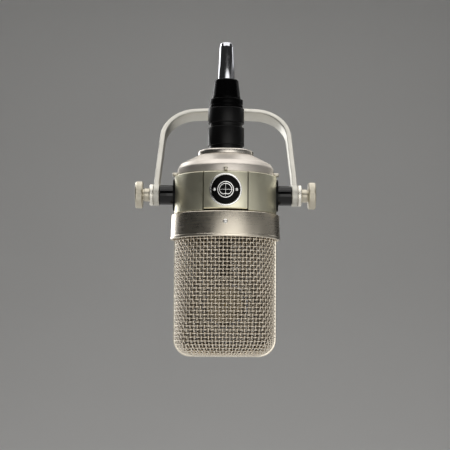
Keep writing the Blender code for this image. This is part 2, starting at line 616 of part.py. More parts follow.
turned("coupling_capacitor", disc(0, 0.0056, -0.0229, -0.0020), GOLD, MIC, SMALL, location=(0.010, 0.008, 0))
block("output_transformer", (-0.0115, -0.0245, -0.0229), (0.0115, -0.0085, -0.0030), PHENOLIC, MIC, 0.0008)
block("circuit_board", (-0.017, 0.0185, -0.0229), (0.017, 0.0201, 0.0050), BOARD, MIC)

# --------------------------------------------------------------------------
# Connector: flange and socket on the microphone, plug with its sleeves
# --------------------------------------------------------------------------
turned("connector_flange",
       [(0.0112, FLANGE_FOOT), (FLANGE_R, FLANGE_FOOT), (FLANGE_R, FLANGE_TOP - 0.0014)]
       + [(FLANGE_R - 0.0014 + 0.0014 * math.cos(t), FLANGE_TOP - 0.0014 + 0.0014 * math.sin(t))
          for t in (0.52, 1.05, math.pi / 2)] + [(0.0112, FLANGE_TOP)], NICKEL, MIC, ROUND)
turned("connector_socket",
       [(0.0086, 0.0232), (0.0130, 0.0232), (0.0130, 0.0257), (0.0102, 0.0257), (0.0102, 0.0446), (0.0098, 0.0450),
        (0.0086, 0.0450)], NICKEL, MIC, MEDIUM)
insert = turned("pin_insert", disc(0, 0.0083, 0.0235, 0.0280), PLASTIC, MIC, SMALL)
PINS = [(0.0, 0.0)] + [(0.0050 * math.cos(math.radians(60 * k + 30)), 0.0050 * math.sin(math.radians(60 * k + 30)))
                       for k in range(6)]
for i, (x, y) in enumerate(PINS):
    pin = turned_mesh([(0, 0.0260), (0.0008, 0.0260), (0.0008, 0.0380), (0.0004, 0.0386), (0, 0.0386)], 6)
    bmesh.ops.translate(pin, vec=(x, y, 0), verts=pin.verts)
    boolean(insert, cutter("pin_%d" % i, pin, MIC), "UNION", "pin_%d" % i)

sockets = turned("plug_insert", disc(0, 0.0082, 0.0283, 0.0452), PHENOLIC, PLUG, SMALL)
for i, (x, y) in enumerate(PINS):
    drill(sockets, "socket_hole_%d" % i, PLUG, 0.0012, "Z", 0.0250, 0.0396, (x, y, 0), 6)
turned("coupling_nut",
       [(0.0107, NUT_FOOT - 0.0004), (0.0122, NUT_FOOT - 0.0004), (0.0122, NUT_STEP), (NUT_R - 0.0004, NUT_STEP),
        (NUT_R, NUT_STEP + 0.0004), (NUT_R, NUT_TOP - 0.0007), (NUT_R - 0.0004, NUT_TOP - 0.0003),
        (0.0095, NUT_TOP - 0.0003), (0.0095, 0.0453), (0.0107, 0.0453)], BLACK, PLUG, ROUND)
turned("plug_shell",
       [(0.0075, 0.0455), (0.0092, 0.0455), (0.0092, NUT_TOP), (GROOVE_R, NUT_TOP), (GROOVE_R, GROOVE_TOP),
        (SHELL_R - 0.0004, GROOVE_TOP), (SHELL_R, GROOVE_TOP + 0.0004), (SHELL_R, SHELL_TOP - 0.0004),
        (SHELL_R - 0.0004, SHELL_TOP), (0.0075, SHELL_TOP)], BLACK, PLUG, ROUND)
turned("plug_collar",
       [(0.0075, SHELL_TOP + GAP), (COLLAR_R - 0.0004, SHELL_TOP + GAP), (COLLAR_R, SHELL_TOP + 0.0007),
        (COLLAR_R, COLLAR_TOP - 0.0005), (COLLAR_R - 0.0005, COLLAR_TOP), (0.0075, COLLAR_TOP)], BLACK, PLUG, ROUND)
turned("gland_nut",
       [(0.0050, COLLAR_TOP + GAP), (GLAND_R, COLLAR_TOP + GAP), (GLAND_TOP_R, GLAND_TOP - 0.0006),
        (GLAND_TOP_R - 0.0006, GLAND_TOP), (0.0050, GLAND_TOP)], BLACK, PLUG, ROUND)
turned("cable_sleeve",
       [(SLEEVE_BORE, 0.0720), (0.0047, 0.0720), (0.0047, GLAND_TOP + GAP), (SLEEVE_R, GLAND_TOP + GAP)]
       + [(SLEEVE_TOP_R - 0.0006 + 0.0006 * math.cos(t), SLEEVE_TOP - 0.0012 + 0.0012 * math.sin(t))
          for t in (0, 0.8, math.pi / 2)]
       + [(SLEEVE_BORE, SLEEVE_TOP)], CHROME, PLUG, MEDIUM)
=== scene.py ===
import json
import math

import bmesh
import bpy
import numpy as np
from mathutils import Matrix, Vector


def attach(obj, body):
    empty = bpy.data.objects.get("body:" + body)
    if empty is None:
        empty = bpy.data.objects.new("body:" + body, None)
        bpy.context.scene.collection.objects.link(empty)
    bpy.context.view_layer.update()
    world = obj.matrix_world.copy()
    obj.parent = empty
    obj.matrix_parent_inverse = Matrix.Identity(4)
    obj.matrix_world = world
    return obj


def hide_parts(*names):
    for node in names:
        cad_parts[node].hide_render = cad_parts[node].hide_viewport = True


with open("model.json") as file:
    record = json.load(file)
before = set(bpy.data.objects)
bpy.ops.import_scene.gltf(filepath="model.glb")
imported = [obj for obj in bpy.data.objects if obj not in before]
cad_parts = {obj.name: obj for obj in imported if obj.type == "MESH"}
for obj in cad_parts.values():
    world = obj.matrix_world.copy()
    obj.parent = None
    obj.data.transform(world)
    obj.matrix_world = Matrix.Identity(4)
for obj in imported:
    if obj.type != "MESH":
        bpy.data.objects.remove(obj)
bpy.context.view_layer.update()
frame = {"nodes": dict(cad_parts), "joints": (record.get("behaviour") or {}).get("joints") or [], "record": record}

MM = 0.001
JOINTS = {j["name"]: j for j in frame["joints"]}
MOUNTS = {m["name"]: m for m in frame["record"]["mounts"]}
T = Vector(JOINTS["microphone_tilt"]["pos_m"])
_ax = MOUNTS["stand_socket"]["axis"]
LEAN = math.atan2(_ax[1], _ax[2])
MIC = Matrix.Translation(T)
YOKE = Matrix.Translation(T) @ Matrix.Rotation(-LEAN, 4, "X")
TURN = {
    "Z": Matrix.Identity(4),
    "+X": Matrix(((0, 0, 1), (0, 1, 0), (-1, 0, 0))).to_4x4(),
    "-X": Matrix(((0, 0, -1), (0, 1, 0), (1, 0, 0))).to_4x4(),
    "+Y": Matrix(((1, 0, 0), (0, 0, 1), (0, -1, 0))).to_4x4(),
    "-Y": Matrix(((1, 0, 0), (0, 0, -1), (0, 1, 0))).to_4x4(),
}


# ==========================================================================
# Materials
# ==========================================================================
class Nodes:
    """Short-hand for a material's node tree."""

    def __init__(self, name):
        self.mat = bpy.data.materials.new(name)
        self.mat.use_nodes = True
        self.tree = self.mat.node_tree
        self.bsdf = self.tree.nodes["Principled BSDF"]
        self.coord = self.add("ShaderNodeTexCoord").outputs["Object"]

    def add(self, kind, **settings):
        node = self.tree.nodes.new(kind)
        for key, value in settings.items():
            setattr(node, key, value)
        return node

    def link(self, out, into):
        self.tree.links.new(out, into)

    def put(self, socket, value):
        if isinstance(value, (int, float)):
            socket.default_value = value
        elif isinstance(value, (tuple, list)):
            socket.default_value = value if len(value) != 3 or socket.type == "VECTOR" else (*value, 1.0)
        else:
            self.link(value, socket)

    def math(self, op, a, b=0.0, c=0.0, clamp=False):
        node = self.add("ShaderNodeMath", operation=op, use_clamp=clamp)
        for i, v in enumerate((a, b, c)):
            if i < len(node.inputs):
                self.put(node.inputs[i], v)
        return node.outputs[0]

    def noise(self, scale, detail=3.0, rough=0.55, stretch=None, vector=None):
        node = self.add("ShaderNodeTexNoise")
        node.inputs["Scale"].default_value = scale
        node.inputs["Detail"].default_value = detail
        node.inputs["Roughness"].default_value = rough
        source = vector or self.coord
        if stretch:
            mapping = self.add("ShaderNodeMapping")
            mapping.inputs["Scale"].default_value = stretch
            self.link(source, mapping.inputs["Vector"])
            source = mapping.outputs["Vector"]
        self.link(source, node.inputs["Vector"])
        return node.outputs["Fac"]

    def span(self, value, lo, hi, out_lo, out_hi):
        node = self.add("ShaderNodeMapRange")
        node.inputs["From Min"].default_value = lo
        node.inputs["From Max"].default_value = hi
        node.inputs["To Min"].default_value = out_lo
        node.inputs["To Max"].default_value = out_hi
        self.put(node.inputs["Value"], value)
        return node.outputs["Result"]

    def mix(self, fac, a, b):
        node = self.add("ShaderNodeMix", data_type="RGBA")
        self.put(node.inputs[0], fac)
        self.put(node.inputs[6], a)
        self.put(node.inputs[7], b)
        return node.outputs[2]

    def lines(self, scale, weight_r=0.0):
        """Fine 1D noise along Z (and radius), for lathe-turned surfaces."""
        sep = self.add("ShaderNodeSeparateXYZ")
        self.link(self.coord, sep.inputs[0])
        along = sep.outputs["Z"]
        if weight_r:
            rr = self.math("SQRT", self.math("ADD", self.math("MULTIPLY", sep.outputs["X"], sep.outputs["X"]),
                                             self.math("MULTIPLY", sep.outputs["Y"], sep.outputs["Y"])))
            along = self.math("ADD", along, self.math("MULTIPLY", rr, weight_r))
        node = self.add("ShaderNodeTexNoise", noise_dimensions="1D")
        self.link(along, node.inputs["W"])
        node.inputs["Scale"].default_value = scale
        node.inputs["Detail"].default_value = 4.0
        node.inputs["Roughness"].default_value = 0.7
        return node.outputs["Fac"]

    def bump(self, layers):
        """layers: (height, distance in metres, strength), stacked."""
        last = None
        for height, distance, strength in layers:
            node = self.add("ShaderNodeBump")
            node.inputs["Strength"].default_value = strength
            node.inputs["Distance"].default_value = distance
            self.link(height, node.inputs["Height"])
            if last:
                self.link(last, node.inputs["Normal"])
            last = node.outputs["Normal"]
        self.link(last, self.bsdf.inputs["Normal"])


def turned_metal(name, colour, dark, rough=0.30, lines=900.0, line_depth=0.4, weight_r=0.0, aniso=0.35,
                 mottle=0.10, grain=0.25, metallic=1.0, lo_rough=None):
    """Plated metal turned on a lathe: circular tool lines, grain, faint tarnish."""
    n = Nodes(name)
    b = n.bsdf
    b.inputs["Metallic"].default_value = metallic
    b.inputs["Anisotropic"].default_value = aniso
    if aniso:
        tangent = n.add("ShaderNodeTangent", direction_type="RADIAL", axis="Z")
        n.link(tangent.outputs[0], b.inputs["Tangent"])
    cloud = n.noise(55.0, 4.0, 0.6)
    fine = n.noise(1900.0, 2.0, 0.6)
    turned = n.lines(lines, weight_r)
    spots = n.span(n.noise(420.0, 3.0, 0.65), 0.60, 0.74, 0.0, 1.0)
    tone = n.math("ADD", n.span(cloud, 0.35, 0.70, 0.0, mottle * 2.2),
                  n.math("MULTIPLY", spots, mottle * 0.8), clamp=True)
    tone = n.math("ADD", tone, n.span(turned, 0.3, 0.7, 0.0, 0.10), clamp=True)
    n.put(b.inputs["Base Color"], n.mix(tone, colour, dark))
    r = n.math("ADD", n.span(cloud, 0.3, 0.7, rough - 0.035, rough + 0.05),
               n.span(turned, 0.3, 0.7, -0.03, 0.04))
    r = n.math("ADD", r, n.math("MULTIPLY", spots, 0.05))
    n.put(b.inputs["Roughness"], r)
    n.bump([(turned, 0.00002, line_depth), (fine, 0.000012, grain)])
    return n.mat


def satin_metal(name, colour, dark, rough=0.36, grain=0.5, mottle=0.12, stretch=None):
    """Fine-blasted plated metal, with wear where handling has polished it."""
    n = Nodes(name)
    b = n.bsdf
    b.inputs["Metallic"].default_value = 1.0
    cloud = n.noise(48.0, 4.0, 0.6)
    fine = n.noise(2600.0, 3.0, 0.65, stretch)
    mid = n.noise(260.0, 4.0, 0.6, stretch)
    polish = n.span(n.noise(90.0, 5.0, 0.7), 0.52, 0.70, 0.0, 1.0)
    tone = n.math("ADD", n.span(cloud, 0.35, 0.70, 0.0, mottle * 2.0),
                  n.span(mid, 0.35, 0.75, 0.0, mottle), clamp=True)
    n.put(b.inputs["Base Color"], n.mix(tone, colour, dark))
    r = n.math("ADD", n.span(mid, 0.3, 0.7, rough - 0.03, rough + 0.04),
               n.math("MULTIPLY", polish, -0.06))
    n.put(b.inputs["Roughness"], n.math("ADD", r, n.span(cloud, 0.3, 0.7, -0.02, 0.03)))
    n.bump([(mid, 0.00004, 0.18), (fine, 0.000015, grain)])
    return n.mat


def polished(name, colour, rough=0.07, smear=0.06, metallic=1.0):
    n = Nodes(name)
    b = n.bsdf
    b.inputs["Metallic"].default_value = metallic
    b.inputs["Base Color"].default_value = (*colour, 1.0)
    cloud = n.noise(120.0, 5.0, 0.65)
    fine = n.noise(900.0, 3.0, 0.7, (1, 1, 0.12))
    n.put(b.inputs["Roughness"], n.math("ADD", n.span(cloud, 0.35, 0.7, rough, rough + smear),
                                        n.span(fine, 0.4, 0.8, 0.0, smear * 0.6)))
    n.put(b.inputs["Base Color"], n.mix(n.span(cloud, 0.3, 0.8, 0.0, 0.35), colour, tuple(c * 0.86 for c in colour)))
    n.bump([(fine, 0.000008, 0.15)])
    return n.mat


def dark_finish(name, colour, edge, rough=0.32, grain=0.35, coat=0.0, coat_rough=0.1, lines=0.0, spec=0.5):
    """Black anodising, lacquer or moulding, greyer where it has rubbed."""
    n = Nodes(name)
    b = n.bsdf
    b.inputs["Specular IOR Level"].default_value = spec
    if coat:
        b.inputs["Coat Weight"].default_value = coat
        b.inputs["Coat Roughness"].default_value = coat_rough
    cloud = n.noise(70.0, 4.0, 0.6)
    fine = n.noise(2200.0, 3.0, 0.6)
    rub = n.span(n.noise(240.0, 6.0, 0.72), 0.58, 0.78, 0.0, 0.55)
    n.put(b.inputs["Base Color"], n.mix(rub, colour, edge))
    r = n.math("ADD", n.span(cloud, 0.3, 0.7, rough - 0.04, rough + 0.06), n.math("MULTIPLY", rub, 0.10))
    n.put(b.inputs["Roughness"], r)
    layers = [(fine, 0.00001, grain)]
    if lines:
        layers.insert(0, (n.lines(lines), 0.00002, 0.35))
    n.bump(layers)
    return n.mat


def wire_metal(name, colour, dark, rough=0.26):
    """Drawn wire: fine grain and faint tarnish in the weave."""
    n = Nodes(name)
    b = n.bsdf
    b.inputs["Metallic"].default_value = 1.0
    cloud = n.noise(60.0, 4.0, 0.6)
    fine = n.noise(1500.0, 3.0, 0.6)
    tone = n.math("ADD", n.span(cloud, 0.35, 0.7, 0.0, 0.45), n.span(fine, 0.35, 0.75, 0.0, 0.30), clamp=True)
    n.put(b.inputs["Base Color"], n.mix(tone, colour, dark))
    n.put(b.inputs["Roughness"], n.math("ADD", n.span(cloud, 0.3, 0.7, rough - 0.03, rough + 0.06),
                                        n.span(fine, 0.3, 0.7, -0.03, 0.05)))
    n.bump([(fine, 0.00002, 0.2)])
    return n.mat


def moulded(name, colour, other, rough=0.5, scale=700.0, depth=0.00004, spec=0.4):
    n = Nodes(name)
    b = n.bsdf
    b.inputs["Specular IOR Level"].default_value = spec
    a = n.noise(scale, 4.0, 0.6)
    c = n.noise(60.0, 4.0, 0.6)
    n.put(b.inputs["Base Color"], n.mix(n.span(c, 0.3, 0.7, 0.0, 1.0), colour, other))
    n.put(b.inputs["Roughness"], n.span(a, 0.3, 0.7, rough - 0.06, rough + 0.08))
    n.bump([(a, depth, 0.4)])
    return n.mat


BAND_M = satin_metal("band_nickel", (0.86, 0.835, 0.66), (0.68, 0.65, 0.48), 0.38, 0.12, 0.06)
RING_M = turned_metal("ring_nickel", (0.88, 0.81, 0.69), (0.66, 0.59, 0.48), 0.28, 1500.0, 0.07, aniso=0.15, mottle=0.05, grain=0.08)
CAP_M = turned_metal("cap_nickel", (0.84, 0.785, 0.72), (0.62, 0.565, 0.50), 0.44, 1100.0, 0.10, weight_r=0.8, aniso=0.10, mottle=0.05, grain=0.10)
FLANGE_M = turned_metal("flange_nickel", (0.80, 0.75, 0.68), (0.52, 0.48, 0.41), 0.26, 1600.0, 0.15, weight_r=1.0, aniso=0.2, grain=0.10)
YOKE_M = satin_metal("yoke_nickel", (0.66, 0.645, 0.59), (0.46, 0.44, 0.39), 0.42, 0.15, 0.10)
KNOB_M = turned_metal("knob_nickel", (0.68, 0.635, 0.53), (0.45, 0.41, 0.32), 0.32, 1800.0, 0.15, weight_r=1.0, aniso=0.2, grain=0.12)
BUSH_M = turned_metal("bush_nickel", (0.94, 0.91, 0.83), (0.72, 0.69, 0.61), 0.26, 1800.0, 0.12, aniso=0.0, grain=0.35)
SCREW_M = turned_metal("screw_nickel", (0.74, 0.70, 0.60), (0.48, 0.44, 0.36), 0.30, 2400.0, 0.08, aniso=0.0, grain=0.08)
CHROME_M = polished("polished_chrome", (0.80, 0.81, 0.86), 0.07, 0.06)
PIN_M = satin_metal("pin_nickel", (0.97, 0.96, 0.93), (0.84, 0.83, 0.80), 0.42, 0.10, 0.04)
FRAME_M = satin_metal("grille_frame_nickel", (0.92, 0.86, 0.74), (0.70, 0.64, 0.52), 0.28, 0.12, 0.08)
MESH_M = wire_metal("grille_wire", (0.92, 0.84, 0.72), (0.72, 0.645, 0.53), 0.20)
GAUZE_M = wire_metal("gauze_wire", (0.27, 0.235, 0.19), (0.15, 0.13, 0.10), 0.40)
BLACK_M = dark_finish("black_anodised", (0.0035, 0.0035, 0.0037), (0.012, 0.012, 0.0125), 0.32, 0.35, spec=0.20)
GLAND_M = dark_finish("gland_black", (0.0014, 0.0014, 0.0015), (0.005, 0.005, 0.005), 0.24, 0.25, spec=0.05)
GLOSS_M = dark_finish("black_gloss", (0.002, 0.002, 0.0022), (0.006, 0.006, 0.0062), 0.10, 0.06, spec=0.42)
SEAT_M = dark_finish("seat_black", (0.002, 0.002, 0.0022), (0.007, 0.007, 0.0072), 0.30, 0.3, lines=1500, spec=0.12)
ENAMEL_M = dark_finish("badge_enamel", (0.0018, 0.0018, 0.002), (0.004, 0.004, 0.0044), 0.20, 0.10, spec=0.06)
SILVER_M = satin_metal("badge_silver", (0.90, 0.90, 0.89), (0.66, 0.66, 0.65), 0.24, 0.25, 0.08)
GOLD_M = polished("gold_film", (0.80, 0.69, 0.50), 0.26, 0.08)
BRASS_M = turned_metal("brass", (0.78, 0.58, 0.28), (0.45, 0.31, 0.13), 0.28, 1300.0, 0.4, aniso=0.3)
STEEL_M = satin_metal("chassis_steel", (0.60, 0.60, 0.60), (0.40, 0.40, 0.41), 0.34, 0.4, 0.12)
PHENOLIC_M = moulded("phenolic", (0.17, 0.085, 0.04), (0.10, 0.05, 0.025), 0.48)
PLASTIC_M = moulded("black_insulator", (0.018, 0.018, 0.019), (0.035, 0.034, 0.033), 0.45)
BOSS_M = satin_metal("boss_nickel", (0.82, 0.79, 0.72), (0.60, 0.57, 0.50), 0.34, 0.15, 0.10)
BOARD_M = moulded("circuit_board", (0.25, 0.18, 0.07), (0.17, 0.12, 0.045), 0.5)
# near-black matte finish for the strips behind the front panel's seams: painted shade, so the seam slits read dark
SHADOW_M = dark_finish("seam_painted_shade", (0.004, 0.004, 0.004), (0.01, 0.01, 0.01), 0.7, 0.2, spec=0.2)


# ==========================================================================
# Mesh helpers
# ==========================================================================
def place(obj, body, mat, replaces=(), matrix=None, smooth=32.0):
    mesh = obj.data
    if smooth is not None:
        mesh.shade_smooth()
        mesh.set_sharp_from_angle(angle=math.radians(smooth))
    mesh.materials.clear()
    mesh.materials.append(mat)
    if matrix is not None:
        if obj.name in ("stand_boss_body", "bracket_strap"):    # leaned pieces keep an upright frame
            mesh.transform(MIC.inverted() @ matrix)
            matrix = MIC
        obj.matrix_world = matrix
    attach(obj, body)
    if replaces:
        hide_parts(*([replaces] if isinstance(replaces, str) else replaces))
    return obj


def link(name, mesh):
    obj = bpy.data.objects.new(name, mesh)
    bpy.context.scene.collection.objects.link(obj)
    return obj


def from_bmesh(name, bm, weld=1e-7):
    bmesh.ops.remove_doubles(bm, verts=bm.verts, dist=weld)
    bmesh.ops.recalc_face_normals(bm, faces=bm.faces)
    mesh = bpy.data.meshes.new(name)
    bm.to_mesh(mesh)
    bm.free()
    return link(name, mesh)


def fillet(corners, steps=4):
    """Closed outline in millimetres from (a, b, radius) corners."""
    out = []
    n = len(corners)
    for i, (a, b, r) in enumerate(corners):
        p = Vector((a, b))
        if r <= 0:
            out.append((a, b))
            continue
        u = (Vector(corners[i - 1][:2]) - p)
        w = (Vector(corners[(i + 1) % n][:2]) - p)
        u, w = u.normalized(), w.normalized()
        half = u.angle(w) / 2
        reach = r / math.tan(half)
        centre = p + (u + w).normalized() * (r / math.sin(half))
        s, e = p + u * reach - centre, p + w * reach - centre
        turn = -s.angle_signed(e)
        for k in range(steps + 1):
            c, q = math.cos(turn * k / steps), math.sin(turn * k / steps)
            out.append((centre.x + c * s.x - q * s.y, centre.y + q * s.x + c * s.y))
    return out


def spin_mesh(outline, segments, wobble=None, start=0.0, sweep=2 * math.pi):
    """Turn a closed outline (radius, height) in millimetres; wobble(angle, r, z) may change the radius."""
    full = sweep > 2 * math.pi - 1e-6
    count = segments if full else segments + 1
    bm = bmesh.new()
    rings = []
    for k in range(count):
        a = start + sweep * k / segments
        ring = []
        for r, z in outline:
            rr = r + (wobble(a, r, z) if wobble and r > 0 else 0.0)
            ring.append(bm.verts.new((rr * MM * math.cos(a), rr * MM * math.sin(a), z * MM)))
        rings.append(ring)
    n = len(outline)
    for k in range(segments if full else segments):
        one, two = rings[k], rings[(k + 1) % count]
        for i in range(n):
            j = (i + 1) % n
            if outline[i][0] < 1e-6 and outline[j][0] < 1e-6:
                continue
            quad = [one[i], one[j], two[j], two[i]]
            if outline[i][0] < 1e-6:
                quad = [one[i], one[j], two[j]]
            elif outline[j][0] < 1e-6:
                quad = [one[i], one[j], two[i]]
            bm.faces.new(quad)
    if not full:
        bm.faces.new(rings[0])
        bm.faces.new(rings[-1])
    return bm


def turned(name, outline, body, mat, slot, replaces=(), segments=128, axis="Z", at=(0, 0, 0), base=None,
           wobble=None, smooth=32.0, **kw):
    obj = from_bmesh(name, spin_mesh(outline, segments, wobble, **kw))
    matrix = (base or MIC) @ Matrix.Translation(Vector(at) * MM) @ TURN[axis]
    return place(obj, body, mat, replaces, matrix, smooth)


def cut(obj, cutters, operation="DIFFERENCE"):
    """Apply Booleans with temporary cutters, given in the object's own space."""
    for i, bm in enumerate(cutters):
        tool = from_bmesh("tool_%d" % i, bm)
        tool.matrix_world = obj.matrix_world
        mod = obj.modifiers.new("cut", "BOOLEAN")
        mod.operation = operation
        mod.solver = "EXACT"
        mod.object = tool
        bpy.context.view_layer.update()
        graph = bpy.context.evaluated_depsgraph_get()
        mesh = bpy.data.meshes.new_from_object(obj.evaluated_get(graph))
        obj.modifiers.clear()
        old = obj.data
        obj.data = mesh
        bpy.data.meshes.remove(old)
        bpy.data.objects.remove(tool, do_unlink=True)
    return obj


def rod(radius, low, high, segments=24, axis="Z", at=(0, 0, 0)):
    """A plain closed rod as a cutter, in millimetres."""
    bm = spin_mesh([(0, low), (radius, low), (radius, high), (0, high)], segments)
    bmesh.ops.remove_doubles(bm, verts=bm.verts, dist=1e-7)
    bmesh.ops.transform(bm, matrix=Matrix.Translation(Vector(at) * MM) @ TURN[axis], verts=bm.verts)
    return bm


def brick(low, high):
    bm = bmesh.new()
    bmesh.ops.create_cube(bm, size=1.0)
    bmesh.ops.scale(bm, vec=[(h - l) * MM for l, h in zip(low, high)], verts=bm.verts)
    bmesh.ops.translate(bm, vec=[(h + l) / 2 * MM for l, h in zip(low, high)], verts=bm.verts)
    return bm


def tubes(name, paths, radius, sides, closed=False):
    """Many wires as one mesh. paths: list of (points n x 3 in metres, reference normals n x 3)."""
    clean = []
    for pts, ref in paths:
        keep = [0]
        for i in range(1, len(pts)):
            if np.linalg.norm(pts[i] - pts[keep[-1]]) > 2e-5:
                keep.append(i)
        if len(keep) > 3:
            clean.append((pts[keep], ref[keep]))
    paths = clean
    verts, faces, at = [], [], 0
    angles = np.arange(sides) * 2 * np.pi / sides
    ca, sa = np.cos(angles), np.sin(angles)
    for pts, ref in paths:
        n = len(pts)
        tangent = np.gradient(pts, axis=0)
        tangent /= np.linalg.norm(tangent, axis=1)[:, None]
        side = np.cross(tangent, ref)
        flat = np.linalg.norm(side, axis=1) < 1e-9
        side[flat] = np.cross(tangent[flat], (0.31, 0.52, 0.79))
        side /= np.linalg.norm(side, axis=1)[:, None]
        up = np.cross(side, tangent)
        ring = pts[:, None, :] + radius * (ca[None, :, None] * side[:, None, :] + sa[None, :, None] * up[:, None, :])
        verts.append(ring.reshape(-1, 3))
        i = np.arange(n - 1)[:, None] * sides
        k = np.arange(sides)[None, :]
        k2 = (k + 1) % sides
        quads = np.stack([i + k, i + k2, i + sides + k2, i + sides + k], axis=-1).reshape(-1, 4) + at
        faces.append(quads)
        at += n * sides
    co = np.concatenate(verts)
    quads = np.concatenate(faces)
    caps = []
    start = 0
    for pts, ref in paths:
        n = len(pts)
        caps.append([start + k for k in range(sides)][::-1])
        caps.append([start + (n - 1) * sides + k for k in range(sides)])
        start += n * sides
    caps = np.array(caps)
    loops = np.concatenate([quads.reshape(-1), caps.reshape(-1)])
    totals = np.concatenate([np.full(len(quads), 4), np.full(len(caps), sides)])
    starts = np.concatenate([[0], np.cumsum(totals)[:-1]])
    mesh = bpy.data.meshes.new(name)
    mesh.vertices.add(len(co))
    mesh.vertices.foreach_set("co", co.astype(np.float32).ravel())
    mesh.loops.add(len(loops))
    mesh.loops.foreach_set("vertex_index", loops.astype(np.int32))
    mesh.polygons.add(len(totals))
    mesh.polygons.foreach_set("loop_start", starts.astype(np.int32))
    mesh.update(calc_edges=True)
    mesh.validate()
    bm = bmesh.new()
    bm.from_mesh(mesh)
    bmesh.ops.recalc_face_normals(bm, faces=bm.faces)
    bm.to_mesh(mesh)
    bm.free()
    return link(name, mesh)


# ==========================================================================
# Camera and lights
# ==========================================================================
def camera():
    elevation = math.radians(5.1)
    roll = math.radians(0.42)
    aim = T + Vector((-0.00025, 0.0, -0.0217))
    distance = 0.856
    eye = aim + Vector((0.0, -distance * math.cos(elevation), -distance * math.sin(elevation)))
    data = bpy.data.cameras.new("camera")
    data.sensor_width = 36.0
    data.lens = 1170.0 / 450.0 * 36.0
    data.clip_start = 0.01
    cam = bpy.data.objects.new("camera", data)
    bpy.context.scene.collection.objects.link(cam)
    look = (aim - eye).to_track_quat("-Z", "Y").to_matrix().to_4x4()
    cam.matrix_world = Matrix.Translation(eye) @ look @ Matrix.Rotation(roll, 4, "Z")
    bpy.context.scene.camera = cam


def panel(name, azimuth, elevation, half_wide, half_tall, distance, radiance, colour=(1, 1, 1), spread=180.0):
    """A soft box round the object: azimuth 0 is the camera's side, 90 is +X; half angles in degrees."""
    target = T + Vector((0, 0, -0.02))
    a, e = math.radians(azimuth), math.radians(elevation)
    away = Vector((math.sin(a) * math.cos(e), -math.cos(a) * math.cos(e), math.sin(e)))
    data = bpy.data.lights.new(name, "AREA")
    data.shape = "RECTANGLE"
    data.size = 2 * distance * math.tan(math.radians(half_wide))
    data.size_y = 2 * distance * math.tan(math.radians(half_tall))
    data.energy = radiance * math.pi * data.size * data.size_y
    data.color = colour
    data.spread = math.radians(spread)
    obj = bpy.data.objects.new(name, data)
    bpy.context.scene.collection.objects.link(obj)
    obj.matrix_world = Matrix.Translation(target + away * distance) @ (-away).to_track_quat("-Z", "Y").to_matrix().to_4x4()
    return obj


camera()
bpy.context.scene.view_settings.view_transform = "Standard"
WARM = (1.0, 0.985, 0.955)
panel("key_core", 14, 1.5, 18, 14.5, 1.50, 0.66, WARM)
panel("key_mid", 13, 1.5, 33, 14.5, 1.45, 0.54, WARM)
panel("key_wide", 24, 1.5, 52, 15, 1.20, 0.32, WARM)
panel("right_wide", 98, 4, 30, 15, 1.30, 0.12, WARM)
panel("left_strip", -146.5, 13, 13.5, 23, 1.30, 1.35, spread=120)
panel("high_left", -140, 31, 20, 6, 1.30, 0.9, spread=120)
panel("high_right", 140, 29, 24, 7, 1.30, 0.16, (1.0, 0.99, 0.97), spread=120)
panel("sleeve_left", -124, 21, 14, 3, 1.30, 0.60, spread=120)
panel("sleeve_right", 124, 21, 18, 3, 1.30, 0.32, spread=120)
panel("back_top", 180, 49, 34, 11, 1.50, 0.45, (1.0, 0.985, 0.965))
panel("strip_front", 0, 76, 42, 2.2, 1.25, 0.9, (1.0, 0.985, 0.965))
panel("strip_back", 180, 63, 42, 2.2, 1.25, 0.6, (1.0, 0.985, 0.965))
panel("ceiling", 0, 89, 44, 44, 1.35, 1.15, (1.0, 0.985, 0.965))

world = bpy.data.worlds.new("studio")
bpy.context.scene.world = world
world.use_nodes = True
wt = world.node_tree
bg = wt.nodes["Background"]
bg.inputs["Color"].default_value = (0.62, 0.62, 0.61, 1.0)
bg.inputs["Strength"].default_value = 0.035

# one sheet of pale paper: floor, curve and upright
low_z = T.z - 0.1176 - 0.24
bm = bmesh.new()
curve = [(1.4 + 1.0 * math.sin(t), 1.0 - 1.0 * math.cos(t)) for t in np.linspace(0, math.pi / 2, 25)[1:]] + [(2.4, 1.9)]
rows = [[bm.verts.new((x, y, low_z + z)) for x in (-0.85, 0.85)] for y, z in curve]
floor_row = [bm.verts.new((x, 1.4, low_z)) for x in (-3.0, -0.85, 0.85, 3.0)]
near_row = [bm.verts.new((x, -3.0, low_z)) for x in (-3.0, -0.85, 0.85, 3.0)]
for i in range(3):
    bm.faces.new((near_row[i], near_row[i + 1], floor_row[i + 1], floor_row[i]))
rows.insert(0, [floor_row[1], floor_row[2]])
for one, two in zip(rows, rows[1:]):
    bm.faces.new((one[0], one[1], two[1], two[0]))
floor = from_bmesh("paper_floor", bm)
floor.data.shade_smooth()
fm = Nodes("pale_paper")
fm.put(fm.bsdf.inputs["Base Color"], fm.mix(fm.noise(3.0, 3.0), (0.72, 0.72, 0.715), (0.75, 0.75, 0.745)))
fm.bsdf.inputs["Roughness"].default_value = 0.9
fm.bsdf.inputs["Specular IOR Level"].default_value = 0.1
floor.data.materials.append(fm.mat)

